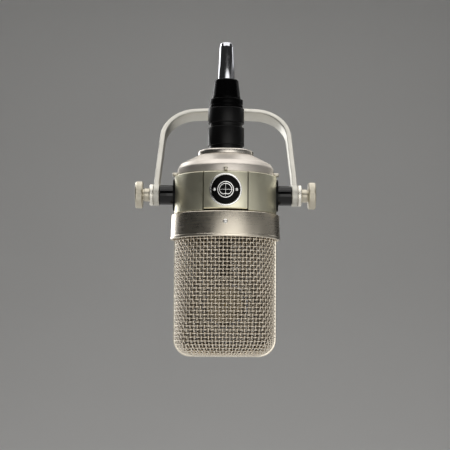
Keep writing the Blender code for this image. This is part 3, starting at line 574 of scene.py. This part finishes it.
# ==========================================================================
# Housing: cap, band, front panel, ring
# ==========================================================================
body = "microphone"
cap_line = fillet([
    (11.5, 28.7, 0), (20.5, 28.7, 0.25), (26.4, 25.75, 20.0), (33.05, 22.25, 1.0), (35.1, 18.9, 2.6), (35.1, 13.62, 0.25),
    (33.0, 13.62, 0), (33.0, 18.4, 0), (30.8, 19.8, 0), (19.4, 26.1, 0), (11.5, 26.1, 0)], 6)
cap = turned("cap_shell", cap_line, body, CAP_M, "satin_nickel", "top_cap", 160)
for side, ax in (("front", "-Y"), ("back", "+Y"), ("left", "-X"), ("right", "+X")):
    head = fillet([(0, 31.9, 0), (0.9, 31.9, 0), (0.9, 35.2, 0), (1.5, 35.2, 0.1), (1.5, 38.3, 0.1), (1.25, 38.9, 0.3),
                   (0.0001, 39.35, 0)], 3)
    head[-1] = (0, 39.35)
    screw = turned("cap_screw_head_" + side, head, body, SCREW_M, "satin_nickel", "cap_screw_" + side, 28, ax,
                   (0, 0, 15.2))
    cut(screw, [brick((-0.28, -2, 38.55), (0.28, 2, 40))])
    screw.data.set_sharp_from_angle(angle=math.radians(30))

panel_half = math.radians(25.5)
front = -math.pi / 2
band_line = fillet([(34.9, -14.2, 0), (37.3, -14.2, 0.5), (37.3, 13.3, 0.6), (34.9, 13.3, 0)], 4)
band = turned("band_shell", band_line, body, BAND_M, "satin_nickel", "housing_band", 120,
              start=front + panel_half + 0.15 / 37.3, sweep=2 * math.pi - 2 * panel_half - 0.3 / 37.3)

slit = 0.70 / 37.3
panel_line = fillet([(34.9, -13.2, 0), (36.75, -13.2, 0.1), (37.3, -12.6, 0.2), (37.3, 13.3, 0.6), (34.9, 13.3, 0)], 3)
panel = turned("front_panel_plate", panel_line, body, BAND_M, "satin_nickel", "front_panel", 36,
               start=front - panel_half + slit, sweep=2 * (panel_half - slit))

ring_line = fillet([
    (34.9, -14.8, 0), (39.3, -14.8, 0.8), (39.85, -30.8, 0.1), (40.0, -31.15, 0.25), (40.0, -33.0, 0.6),
    (38.1, -33.0, 0.3), (37.9, -32.2, 0), (37.9, -27.5, 0), (34.9, -27.5, 0)], 4)
ring = turned("skirt_ring", ring_line, body, RING_M, "satin_nickel", "lower_ring", 192)
pin_line = [(0, 34.6), (1.0, 34.6), (1.0, 39.6), (1.7, 39.6), (1.7, 40.1)]
pin_line += [(1.7 * math.cos(t), 40.1 + 1.15 * math.sin(t)) for t in np.linspace(0.15, 1.45, 8)] + [(0, 41.25)]
turned("index_pin_dome", pin_line, body, PIN_M, "polished_chrome", "index_pin", 32, "-Y", (0, 0, -22.5))

# near-black strips behind the two panel seams: painted shade inside the slits, so they read dark
for name, s in (("left", -1), ("right", 1)):
    angle = front + s * panel_half
    shade_strip = fillet([(34.3, -13.0, 0.1), (35.2, -13.0, 0.1), (35.2, 13.0, 0.1), (34.3, 13.0, 0.1)], 2)
    turned("seam_shade_strip_" + name, shade_strip, body, SHADOW_M, "black_insulator", (), 8, start=angle - 0.05, sweep=0.10)

# ==========================================================================
# Badge: a plain enamel disc with a generic pick-up pattern in relief
# ==========================================================================
def wrap(u, v, level):
    """A point (u across, v up) on the panel's cylinder at a radius, all in millimetres."""
    return ((level * math.sin(u / level)) * MM, (-level * math.cos(u / level)) * MM, v * MM)


def wrapped_band(name, points_in, points_out, low, high, mat, replaces=(), closed=True, bevel=0.12):
    """A raised strip between two curves, wrapped on the panel, with chamfered top edges."""
    bm = bmesh.new()
    rows = []
    for pts, level, shift in ((points_in, low, 0.0), (points_in, high - bevel, 0.0), (points_in, high, bevel),
                              (points_out, high, -bevel), (points_out, high - bevel, 0.0), (points_out, low, 0.0)):
        other = points_out if pts is points_in else points_in
        row = []
        for (u, v), (p, q) in zip(pts, other):
            d = math.hypot(p - u, q - v) or 1.0
            row.append(bm.verts.new(wrap(u + (p - u) / d * abs(shift), v + (q - v) / d * abs(shift), level)))
        rows.append(row)
    n = len(points_in)
    last = n if closed else n - 1
    for i in range(len(rows)):
        one, two = rows[i], rows[(i + 1) % len(rows)]
        for k in range(last):
            j = (k + 1) % n
            bm.faces.new((one[k], one[j], two[j], two[k]))
    if not closed:
        bm.faces.new([r[0] for r in rows])
        bm.faces.new([r[-1] for r in rows])
    obj = from_bmesh(name, bm)
    return place(obj, body, mat, replaces, MIC, 35)


def circle(r, n=120):
    return [(r * math.cos(2 * math.pi * k / n), r * math.sin(2 * math.pi * k / n)) for k in range(n)]


def enamel_disc():
    bm = bmesh.new()
    rings = []
    for r, level in ((10.3, 37.4), (10.3, 38.12), (10.15, 38.25), (8.0, 38.3), (5.0, 38.3), (2.0, 38.3)):
        rings.append([bm.verts.new(wrap(u, v, level)) for u, v in circle(r, 96)])
    for one, two in zip(rings, rings[1:]):
        for k in range(96):
            j = (k + 1) % 96
            bm.faces.new((one[k], one[j], two[j], two[k]))
    top = bm.verts.new(wrap(0, 0, 38.3))
    low = bm.verts.new(wrap(0, 0, 37.4))
    for k in range(96):
        j = (k + 1) % 96
        bm.faces.new((rings[-1][k], rings[-1][j], top))
        bm.faces.new((rings[0][k], rings[0][j], low))
    return place(from_bmesh("badge_enamel_disc", bm), body, ENAMEL_M, "badge_plate", MIC, 35)


enamel_disc()
wrapped_band("badge_bezel", circle(10.45), circle(11.6), 37.35, 38.6, SILVER_M, "badge_rim", bevel=0.25)
wrapped_band("badge_inner_ring", circle(5.25), circle(5.85), 38.25, 38.5, SILVER_M)


def cardioid(scale, n=120):
    pts = []
    for k in range(n):
        t = 2 * math.pi * k / n
        r = scale * (1 + math.cos(t)) / 2
        pts.append((r * math.sin(t), r * math.cos(t) - scale * 0.36))
    return pts


def offset_curve(pts, width):
    out = []
    n = len(pts)
    for k in range(n):
        a, b = Vector(pts[k - 1]), Vector(pts[(k + 1) % n])
        d = (b - a)
        d = d.normalized() if d.length > 1e-9 else Vector((0, 1))
        out.append((pts[k][0] + d.y * width, pts[k][1] - d.x * width))
    return out


heart = cardioid(6.6)
wrapped_band("badge_pattern_line", offset_curve(heart, 0.24), offset_curve(heart, -0.24), 38.25, 38.5, SILVER_M,
             bevel=0.08)
for i, (p, q) in enumerate((((0, -4.9), (0, 4.9)), ((-4.9, 0), (4.9, 0)))):
    a, b = Vector(p), Vector(q)
    d = (b - a).normalized()
    s = Vector((-d.y, d.x)) * 0.11
    n = 16
    one = [tuple(a.lerp(b, k / n) + s) for k in range(n + 1)]
    two = [tuple(a.lerp(b, k / n) - s) for k in range(n + 1)]
    wrapped_band("badge_axis_%d" % i, one, two, 38.25, 38.42, SILVER_M, closed=False, bevel=0.04)
for side, s in (("left", -1), ("right", 1)):
    x = s * 7.8
    y = -math.sqrt(37.3 ** 2 - x ** 2)
    tilt = math.atan2(x, -y)
    dome = [(0, -1.2), (0.6, -1.2), (0.6, 0.75), (1.15, 0.75), (1.15, 1.05)]
    dome += [(1.15 * math.cos(t), 1.05 + 0.7 * math.sin(t)) for t in np.linspace(0.2, 1.4, 6)] + [(0, 1.75)]
    turned("badge_rivet_dome_" + side, dome, body, SILVER_M, "badge_silver", "badge_rivet_" + side, 28, "-Y", (x, y, 0))

# ==========================================================================
# Trunnion stacks and thumb screws
# ==========================================================================
def knurl(pitch_count, depth, zones, slope=0.0):
    """Diamond or straight knurl: radius change over the zones of height given."""
    def change(a, r, z):
        for lo, hi, r_min in zones:
            if lo <= z <= hi and r >= r_min:
                w1 = math.cos(pitch_count * a + slope * z)
                if slope:
                    w2 = math.cos(pitch_count * a - slope * z)
                    return -depth * (0.5 - 0.25 * (w1 + w2))
                return -depth * (0.5 - 0.5 * w1)
        return 0.0
    return change


def subdivide(outline, lo, hi, r_min, step):
    """Add points along the straight runs of an outline inside a knurled zone."""
    out = []
    n = len(outline)
    for i in range(n):
        a, b = outline[i], outline[(i + 1) % n]
        out.append(a)
        if a[0] >= r_min and b[0] >= r_min and lo - 1e-6 <= min(a[1], b[1]) and max(a[1], b[1]) <= hi + 1e-6:
            count = int(abs(b[1] - a[1]) / step)
            for k in range(1, count):
                out.append((a[0] + (b[0] - a[0]) * k / count, a[1] + (b[1] - a[1]) * k / count))
    return out


for side, s in (("left", -1), ("right", 1)):
    ax = "+X" if s > 0 else "-X"
    seat = fillet([(3.4, 35.2, 0), (11.7, 35.2, 0), (11.7, 38.45, 0.4), (8.2, 38.45, 0), (8.0, 38.2, 0), (7.6, 38.2, 0),
                   (3.4, 38.2, 0)], 4)
    seat_bm = spin_mesh(seat, 128)
    for v in seat_bm.verts:
        v.co.y *= 0.56
    place(from_bmesh("trunnion_seat_saddle_" + side, seat_bm), body, SEAT_M, "trunnion_seat_" + side,
          MIC @ TURN[ax], 35)
    spacer = fillet([(3.3, 38.25, 0), (7.3, 38.25, 0.2), (7.3, 48.3, 0.45), (3.3, 48.3, 0)], 4)
    turned("trunnion_spacer_tube_" + side, spacer, body, GLOSS_M, "black_gloss", "trunnion_spacer_" + side, 96, ax)
    bush = fillet([(3.3, 48.6, 0), (4.8, 48.6, 0), (4.8, 52.9, 0), (7.9, 52.9, 0.35), (7.9, 55.4, 0.45), (3.3, 55.4, 0)], 3)
    bush = subdivide(bush, 53.2, 55.0, 7.8, 0.22)
    turned("pivot_bush_flange_" + side, bush, "yoke", BUSH_M, "satin_nickel", "pivot_bush_" + side, 288, ax,
           wobble=knurl(48, 0.16, [(53.2, 55.0, 7.8)], math.pi / 0.9), smooth=50)
    screw_body = "thumb_screw_" + side
    knob = fillet([
        (0, -31.5, 0), (2.5, -31.5, 0), (3.0, -31.0, 0), (3.0, -4.3, 0), (4.85, -4.3, 0.35), (4.85, -0.6, 0),
        (4.2, -0.2, 0), (4.2, 0.5, 0.2), (9.3, 0.5, 0.35), (9.9, 1.05, 0.25), (9.9, 5.15, 0.25), (9.35, 5.8, 0.35),
        (5.6, 5.8, 0.25), (5.2, 5.35, 0.2), (0, 5.35, 0)], 3)
    knob = subdivide(knob, 1.0, 5.25, 9.85, 0.5)
    turned("thumb_screw_knob_" + side, knob, screw_body, KNOB_M, "satin_nickel", "thumb_screw_" + side, 384, ax,
           (s * 60.0, 0, 0), wobble=knurl(96, 0.13, [(1.25, 4.95, 9.85)]), smooth=50)

# ==========================================================================
# Bracket and stand boss
# ==========================================================================
EYE_X, TOP_X, HEIGHT, ARCH, BEND = 50.6, 46.0, 75.5, 2.0, 26.0
STRAP_T, STRAP_W = 3.8, 11.5


def bracket_line():
    eye, knee = Vector((EYE_X, 0.0)), Vector((EYE_X, 8.5))
    corner, flat = Vector((TOP_X, HEIGHT - ARCH)), Vector((12.5, HEIGHT))
    down, across = (knee - corner).normalized(), (flat - corner).normalized()
    half = down.angle(across) / 2
    reach = BEND / math.tan(half)
    a, b = corner + down * reach, corner + across * reach
    centre = corner + (down + across).normalized() * (BEND / math.sin(half))
    k0, k1 = knee.lerp(eye, 0.35), knee.lerp(a, 0.10)
    pts = [eye.lerp(k0, k / 5) for k in range(5)]
    for k in range(7):                       # soft set where the leg leaves the eye
        t = k / 6
        pts.append(k0 * (1 - t) ** 2 + knee * 2 * t * (1 - t) + k1 * t * t)
    pts += [k1.lerp(a, k / 8) for k in range(1, 9)]
    ra, rb = a - centre, b - centre
    turn = -ra.angle_signed(rb)
    for k in range(1, 37):
        c, s = math.cos(turn * k / 36), math.sin(turn * k / 36)
        pts.append(centre + Vector((c * ra.x - s * ra.y, s * ra.x + c * ra.y)))
    pts += [b.lerp(flat, k / 5) for k in range(1, 6)]
    pts += [flat.lerp(Vector((0.0, HEIGHT)), k / 4) for k in range(1, 5)]
    return pts


half_line = [p for p in bracket_line() if p.y > 2.0]
line = half_line + [Vector((-p.x, p.y)) for p in reversed(half_line[:-1])]
section = fillet([(-STRAP_W / 2, -STRAP_T / 2, 0.85), (STRAP_W / 2, -STRAP_T / 2, 0.85),
                  (STRAP_W / 2, STRAP_T / 2, 0.85), (-STRAP_W / 2, STRAP_T / 2, 0.85)], 4)
bm = bmesh.new()
rings = []
for i, p in enumerate(line):
    along = (line[min(i + 1, len(line) - 1)] - line[max(i - 1, 0)]).normalized()
    out = Vector((along.y, -along.x))
    if out.dot(p - Vector((0.0, HEIGHT * 0.4))) < 0:
        out = -out
    rings.append([bm.verts.new(((p.x + out.x * b) * MM, a * MM, (p.y + out.y * b) * MM)) for a, b in section])
for one, two in zip(rings, rings[1:]):
    for i in range(len(section)):
        j = (i + 1) % len(section)
        bm.faces.new((one[i], one[j], two[j], two[i]))
bm.faces.new(rings[0])
bm.faces.new(rings[-1])
strap = from_bmesh("bracket_strap", bm)
strap.matrix_world = YOKE
eyes = []
for s in (-1, 1):
    eye_line = fillet([(0, 48.6, 0), (8.0, 48.6, 0.3), (8.0, 52.6, 0.3), (0, 52.6, 0)], 3)
    eye_line = subdivide(eye_line, 48.8, 52.4, 7.95, 0.22)
    eye = spin_mesh(eye_line, 288, knurl(48, 0.14, [(48.85, 52.35, 7.95)], math.pi / 0.9))
    bmesh.ops.remove_doubles(eye, verts=eye.verts, dist=1e-7)
    bmesh.ops.transform(eye, matrix=TURN["+X" if s > 0 else "-X"], verts=eye.verts)
    eyes.append(eye)
cut(strap, eyes, "UNION")
cut(strap, [rod(5.0, 40, 60, 64, "+X"), rod(5.0, 40, 60, 64, "-X"), rod(3.4, HEIGHT - 10, HEIGHT + 10, 40)])
place(strap, "yoke", YOKE_M, "yoke_bracket", YOKE, 35)

foot = HEIGHT + STRAP_T / 2 + 0.05
end = 95.7
thread = []
steps = int((end - 0.8 - (foot + 4.6)) / 0.35)
for k in range(steps):
    z = end - 0.8 - k * 0.35
    thread.append((7.9 if k % 2 else 7.35, z))
boss = (fillet([(3.4, foot, 0), (10.5, foot, 0.7), (10.5, end - 4.2, 0.0), (9.9, end - 3.6, 0.0), (9.9, end - 2.9, 0.0),
                (10.5, end - 2.3, 0.0), (10.5, end, 0.7)], 4)[:-0 or None]
        + [(8.4, end), (7.9, end - 0.5)] + thread + [(7.6, foot + 4.5), (3.4, foot + 4.5)])
turned("stand_boss_body", boss, "yoke", BOSS_M, "satin_nickel", "stand_boss", 112, base=YOKE, smooth=28)
top = HEIGHT - STRAP_T / 2
screw_line = fillet([(0, foot + 3.8, 0), (2.9, foot + 3.8, 0), (2.9, top, 0), (5.2, top, 0), (5.2, top - 1.1, 0.4),
                     (4.0, top - 2.4, 0.6), (0.001, top - 2.65, 0)], 3)
screw_line[-1] = (0, top - 2.65)
bscrew = turned("boss_screw_body", screw_line, "yoke", SCREW_M, "steel", "boss_screw", 48, base=YOKE)
cut(bscrew, [brick((-8, -0.5, top - 4), (8, 0.5, top - 1.6))])
bscrew.data.set_sharp_from_angle(angle=math.radians(30))

# ==========================================================================
# Grille
# ==========================================================================
R_OUT, TOP_Z, FOOT_Z, CORNER, TOE = 37.3, -28.6, -117.6, 12.8, 9.5
DEPTH_TOP, DEPTH_FOOT, WEDGE = 37.2, 20.5, -34.5


def section_at(z, inset):
    r = R_OUT - inset
    t = min(max((WEDGE - z) / (WEDGE - FOOT_Z), 0.0), 1.0)
    h = DEPTH_TOP + (DEPTH_FOOT - DEPTH_TOP) * t - inset
    foot_z = FOOT_Z + inset
    a = foot_z + CORNER - z
    if a > 0:
        a = min(a, CORNER)
        r -= CORNER - math.sqrt(CORNER ** 2 - a * a)
    b = foot_z + TOE - z
    if b > 0:
        b = min(b, TOE)
        h -= TOE - math.sqrt(TOE ** 2 - b * b)
    return r, min(h, r * 0.9995)


POWER = 34.0
FINE = 241


def half_curve(z, inset, edge_y):
    """Evenly spaced points of the half section at a height, from -X to +X, with y positive."""
    r, h = section_at(z, inset)
    start = math.asin(min(edge_y / r, 0.99))
    th = np.linspace(start, math.pi - start, FINE)
    s = np.sin(th)
    rho = (r ** -POWER + (h / s) ** -POWER) ** (-1.0 / POWER)
    rho = rho * (r / (r ** -POWER + 1e-300) ** (-1.0 / POWER))
    x, y = -rho * np.cos(th), rho * s
    d = np.concatenate([[0], np.cumsum(np.hypot(np.diff(x), np.diff(y)))])
    return x, y, d


def levels(inset):
    """Heights from the top to the foot, then how far across the foot, by distance along the middle."""
    foot_z = FOOT_Z + inset
    path = []
    for z in np.linspace(TOP_Z, foot_z + CORNER, 40):
        path.append((z, 0.0))
    for a in np.linspace(0, math.pi / 2, 30)[1:]:
        path.append((foot_z + CORNER * (1 - math.sin(a)), 0.0))
    for f in np.linspace(0, 1, 12)[1:]:
        path.append((foot_z, f))
    return path


class Skin:
    """The grille's surface as a smooth map from (row, column) fractions to points and normals."""

    def __init__(self, inset, edge_y, side):
        self.rows = []
        for z, f in levels(inset):
            x, y, d = half_curve(z, inset, edge_y)
            u = np.linspace(0, d[-1], FINE)
            xx, yy = np.interp(u, d, x), np.interp(u, d, y)
            yy = yy + (edge_y - yy) * f
            self.rows.append(np.stack([xx, side * yy, np.full(FINE, z)], 1))
        self.rows = np.array(self.rows)
        mid = self.rows[:, FINE // 2]
        self.length = np.concatenate([[0], np.cumsum(np.linalg.norm(np.diff(mid, axis=0), axis=1))])
        self.width = np.linalg.norm(np.diff(self.rows[0], axis=0), axis=1).sum()
        gi = np.gradient(self.rows, axis=0)
        gj = np.gradient(self.rows, axis=1)
        nrm = np.cross(gi, gj)
        nrm /= np.maximum(np.linalg.norm(nrm, axis=2), 1e-12)[:, :, None]
        centre = np.array([0, 0, -70.0])
        flip = np.sign((nrm * (self.rows - centre)).sum(2))
        probe = flip[len(flip) // 3, FINE // 2]
        self.normals = nrm * probe

    def sample(self, v, u):
        """v: distance down the middle in mm, u: fraction across; arrays of one length."""
        i = np.interp(v, self.length, np.arange(len(self.length)))
        j = np.asarray(u) * (FINE - 1)
        i0 = np.clip(i.astype(int), 0, len(self.rows) - 2)
        j0 = np.clip(j.astype(int), 0, FINE - 2)
        fi, fj = (i - i0)[:, None], (j - j0)[:, None]

        def mixin(grid):
            return (grid[i0, j0] * (1 - fi) * (1 - fj) + grid[i0 + 1, j0] * fi * (1 - fj)
                    + grid[i0, j0 + 1] * (1 - fi) * fj + grid[i0 + 1, j0 + 1] * fi * fj)
        p, n = mixin(self.rows), mixin(self.normals)
        n /= np.maximum(np.linalg.norm(n, axis=1), 1e-9)[:, None]
        return p, n


PITCH, WIRE_R, SWING = 2.78, 0.54, 0.52


def woven_half(name, side, node):
    skin = Skin(1.65, 1.75, side)
    cols = int(round(skin.width / PITCH))
    total = skin.length[-1]
    rows_n = int(round(total / (PITCH * 0.985)))
    step = total / rows_n
    paths = []
    per = 4
    for c in range(1, cols):
        v = np.linspace(0.0, total, rows_n * per + 1)
        u = np.full(len(v), c / cols)
        p, n = skin.sample(v, u)
        wave = np.cos(math.pi * (v / step)) * (1 if c % 2 else -1)
        fade = np.clip((total - v) / 2.0, 0, 1)
        p = p + n * (SWING * wave * fade)[:, None]
        paths.append((p * MM, n))
    for r in range(1, rows_n):
        u = np.linspace(0.0, 1.0, cols * per + 1)
        v = np.full(len(u), r * step)
        p, n = skin.sample(v, u)
        wave = -np.cos(math.pi * (u * cols)) * (1 if r % 2 else -1)
        # wires of odd rows pass under where those of even rows pass over
        wave = wave * 1.0
        p = p + n * (SWING * wave)[:, None]
        paths.append((p * MM, n))
    obj = tubes(name, paths, WIRE_R * MM, 6)
    return place(obj, body, MESH_M, node, MIC, None)


def finish_smooth(obj):
    obj.data.shade_smooth()


for nm, side, node in (("grille_weave_front", -1, "grille_front"), ("grille_weave_rear", 1, "grille_rear")):
    finish_smooth(woven_half(nm, side, node))


def gauze():
    paths = []
    pitch = 1.12
    for side in (-1, 1):
        skin = Skin(3.3, 0.4, side)
        cols = int(round(skin.width / pitch))
        total = skin.length[-1]
        rows_n = int(round(total / pitch))
        step = total / rows_n
        for c in range(1, cols):
            v = np.concatenate([np.linspace(0.0, total - 34, 10), np.linspace(total - 32, total, 16)])
            p, n = skin.sample(v, np.full(len(v), c / cols))
            paths.append(((p + n * 0.13) * MM, n))
        for r in range(1, rows_n):
            u = np.linspace(0.0, 1.0, 45)
            p, n = skin.sample(np.full(len(u), r * step), u)
            paths.append(((p - n * 0.13) * MM, n))
    obj = tubes("inner_gauze", paths, 0.15 * MM, 4)
    place(obj, body, GAUZE_M, "inner_mesh", MIC, None)
    obj.data.shade_smooth()


gauze()


def grille_frame():
    """The U-shaped strap between the halves, with a rolled outer face, and the base ring."""
    path = []
    for z in np.linspace(-28.4, FOOT_Z + CORNER, 24):
        path.append((R_OUT, z))
    for a in np.linspace(0, math.pi / 2, 25)[1:]:
        path.append((R_OUT - CORNER + CORNER * math.cos(a), FOOT_Z + CORNER - CORNER * math.sin(a)))
    left = [(-x, z) for x, z in reversed(path)]
    n_flat = 20
    flat = [(path[-1][0] + (left[0][0] - path[-1][0]) * k / n_flat, FOOT_Z) for k in range(1, n_flat)]
    full = path + flat + left
    sec = fillet([(-1.75, -1.75, 0.3), (1.75, -1.75, 0.3), (1.75, 0.0, 0.6), (-1.75, 0.0, 0.6)], 4)
    bm = bmesh.new()
    rings = []
    for i, (x, z) in enumerate(full):
        a, b = full[max(i - 1, 0)], full[min(i + 1, len(full) - 1)]
        t = Vector((b[0] - a[0], b[1] - a[1])).normalized()
        out = Vector((t.y, -t.x))
        if out.dot(Vector((x, z + 60.0))) < 0:
            out = -out
        rings.append([bm.verts.new(((x + out.x * q) * MM, p * MM, (z + out.y * q) * MM)) for p, q in sec])
    for one, two in zip(rings, rings[1:]):
        for i in range(len(sec)):
            j = (i + 1) % len(sec)
            bm.faces.new((one[i], one[j], two[j], two[i]))
    bm.faces.new(rings[0])
    bm.faces.new(rings[-1])
    obj = from_bmesh("grille_u_frame", bm)
    obj.matrix_world = MIC
    base_line = fillet([(35.4, -31.3, 0.2), (37.45, -31.3, 0.3), (37.45, -27.95, 0.2), (35.4, -27.95, 0.2)], 3)
    base = spin_mesh(base_line, 144)
    bmesh.ops.remove_doubles(base, verts=base.verts, dist=1e-7)
    cut(obj, [base], "UNION")
    place(obj, body, FRAME_M, "grille_frame", MIC, 35)


grille_frame()

# ==========================================================================
# Capsule, its mount and the head deck
# ==========================================================================
C = (0, 0, -80.0)
deck = fillet([(5.5, -30.6, 0.3), (34.9, -30.6, 0.4), (34.9, -27.9, 0.4), (5.5, -27.9, 0.3)], 3)
deck_o = turned("head_deck_disc", deck, body, PLASTIC_M, "black_insulator", "head_deck", 96)
for side, ax in (("front", "-Y"), ("rear", "+Y")):
    ring_l = fillet([(13.6, 3.5, 0.1), (17.0, 3.5, 0.1), (17.0, 5.9, 0.35), (14.9, 6.2, 0.3), (13.6, 5.3, 0.3)], 3)
    ringo = turned("capsule_clamp_ring_" + side, ring_l, body, CHROME_M, "polished_chrome", "clamp_ring_" + side, 96, ax, C)
    gold = [(1.3, 3.02), (16.4, 3.02), (16.4, 3.3), (13.4, 3.3), (9.0, 3.28), (5.5, 3.24), (2.6, 3.28), (2.3, 3.42),
            (1.3, 3.42)]
    turned("gold_diaphragm_" + side, gold, body, GOLD_M, "gold_film", "diaphragm_" + side, 96, ax, C)
    term = fillet([(0, 0.9, 0), (0.9, 0.9, 0), (0.9, 3.5, 0), (2.2, 3.5, 0.1), (2.2, 4.4, 0.3), (1.3, 5.05, 0.2),
                   (0.001, 5.1, 0)], 3)
    term[-1] = (0, 5.1)
    tobj = turned("capsule_terminal_" + side, term, body, BRASS_M, "brass", "terminal_screw_" + side, 32, ax, C)
    cut(tobj, [brick((-0.22, -4, 4.5), (0.22, 4, 6))])
    tobj.data.set_sharp_from_angle(angle=math.radians(30))
    for k in range(6):
        a = math.radians(60 * k + 30)
        px, pz = 15.35 * math.cos(a), 15.35 * math.sin(a)
        head = [(0, 5.9), (0.85, 5.9), (0.85, 6.5), (0.6, 6.85), (0, 6.95)]
        turned("clamp_screw_%s_%d" % (side, k), head, body, SCREW_M, "steel", (), 16, ax, (px, 0, -80.0 + pz))
back = fillet([(1.3, -2.7, 0), (17.0, -2.7, 0.3), (17.0, 2.7, 0.3), (1.3, 2.7, 0)], 3)
turned("capsule_backplate_disc", back, body, BRASS_M, "brass", "capsule_backplate", 96, "-Y", C)
mount = fillet([(17.4, -4.2, 0.3), (22.0, -4.2, 1.2), (22.0, 4.2, 1.2), (17.4, 4.2, 0.3)], 4)
turned("capsule_mount_hoop", mount, body, FRAME_M, "black_anodised", "capsule_mount_ring", 96, "-Y", C)
post = fillet([(0, -57.9, 0), (6.0, -57.9, 0.5), (6.0, -54.6, 0.6), (4.2, -52.6, 0.6), (4.2, -31.0, 0), (0, -31.0, 0)], 3)
turned("capsule_post_stem", post, body, PLASTIC_M, "black_insulator", "capsule_post", 48)

# ==========================================================================
# Connector
# ==========================================================================
flange = fillet([(11.2, 28.9, 0), (20.3, 28.9, 0.2), (20.3, 32.6, 1.5), (14.6, 32.6, 0.2), (14.2, 32.2, 0.1), (11.2, 32.2, 0)], 6)
turned("connector_flange_ring", flange, body, FLANGE_M, "satin_nickel", "connector_flange", 128)
socket = [(8.6, 23.2), (13.0, 23.2), (13.0, 25.7), (10.2, 25.7), (10.2, 33.6)]
for k in range(14):
    socket.append((9.75 if k % 2 == 0 else 10.2, 34.0 + k * 0.75))
socket += [(10.0, 44.8), (9.8, 45.0), (8.6, 45.0)]
turned("connector_socket_barrel", socket, body, FLANGE_M, "satin_nickel", "connector_socket", 96, smooth=25)

nut = fillet([(10.7, 32.9, 0), (12.2, 32.9, 0.25), (12.2, 36.3, 0.0), (13.3, 36.3, 0.35), (13.3, 49.9, 0.55), (9.5, 49.9, 0),
              (9.5, 45.3, 0), (10.7, 45.3, 0)], 4)
nut = subdivide(nut, 36.8, 49.3, 13.2, 0.8)
turned("coupling_nut_sleeve", nut, "coupling_nut", BLACK_M, "black_anodised", "coupling_nut", 384,
       wobble=knurl(96, 0.16, [(37.6, 48.6, 13.2)]), smooth=45)
shell = fillet([(7.5, 45.5, 0), (9.2, 45.5, 0), (9.2, 50.2, 0), (11.8, 50.2, 0), (11.8, 52.9, 0.2), (13.3, 52.9, 0.45),
                (13.3, 64.0, 0.5), (7.5, 64.0, 0)], 4)
shell = subdivide(shell, 53.4, 63.5, 13.2, 0.8)
turned("plug_shell_sleeve", shell, "plug", BLACK_M, "black_anodised", "plug_shell", 384,
       wobble=knurl(96, 0.16, [(54.2, 62.6, 13.2)]), smooth=45)
collar = fillet([(7.5, 64.3, 0), (12.0, 64.3, 0.0), (12.3, 64.8, 0.2), (12.3, 66.3, 0.1), (11.9, 66.6, 0.1),
                 (11.9, 67.0, 0.1), (12.3, 67.3, 0.1), (12.3, 70.9, 0.6), (7.5, 70.9, 0)], 4)
turned("plug_collar_ring", collar, "plug", GLAND_M, "black_anodised", "plug_collar", 128)
gland = fillet([(5.0, 71.2, 0), (10.4, 71.2, 0.3), (10.35, 72.6, 0.2), (8.85, 84.9, 0.3), (8.2, 85.7, 0.4), (5.0, 85.7, 0)], 4)
turned("gland_nut_cone", gland, "plug", GLAND_M, "black_anodised", "gland_nut", 128)
sleeve = fillet([(3.7, 72.0, 0), (4.7, 72.0, 0), (4.7, 86.0, 0), (6.1, 86.0, 0.3), (5.05, 110.4, 4.0), (4.3, 113.2, 1.2), (3.2, 113.8, 0.5),
                 (2.9, 113.5, 0.1), (3.7, 110.5, 0)], 6)
turned("cable_sleeve_tube", sleeve, "plug", CHROME_M, "polished_chrome", "cable_sleeve", 96)

# ==========================================================================
# CAD nodes that stay: their materials
# ==========================================================================
KEEP = {
    "pivot_nut_left": BRASS_M, "pivot_nut_right": BRASS_M, "pin_insert": PLASTIC_M, "plug_insert": PHENOLIC_M,
    "amplifier_deck": STEEL_M, "amplifier_top_plate": STEEL_M, "amplifier_pillar_1": STEEL_M,
    "amplifier_pillar_2": STEEL_M, "amplifier_pillar_3": STEEL_M, "valve_socket": PHENOLIC_M,
    "coupling_capacitor": GOLD_M, "output_transformer": PHENOLIC_M, "circuit_board": BOARD_M,
}


def glass():
    n = Nodes("valve_glass")
    b = n.bsdf
    b.inputs["Base Color"].default_value = (0.9, 0.93, 0.93, 1.0)
    b.inputs["Transmission Weight"].default_value = 0.9
    b.inputs["IOR"].default_value = 1.5
    n.put(b.inputs["Roughness"], n.span(n.noise(150.0, 3.0), 0.3, 0.7, 0.02, 0.10))
    return n.mat


KEEP["vacuum_valve"] = glass()
for node, mat in KEEP.items():
    obj = frame["nodes"][node]
    obj.data.materials.clear()
    obj.data.materials.append(mat)
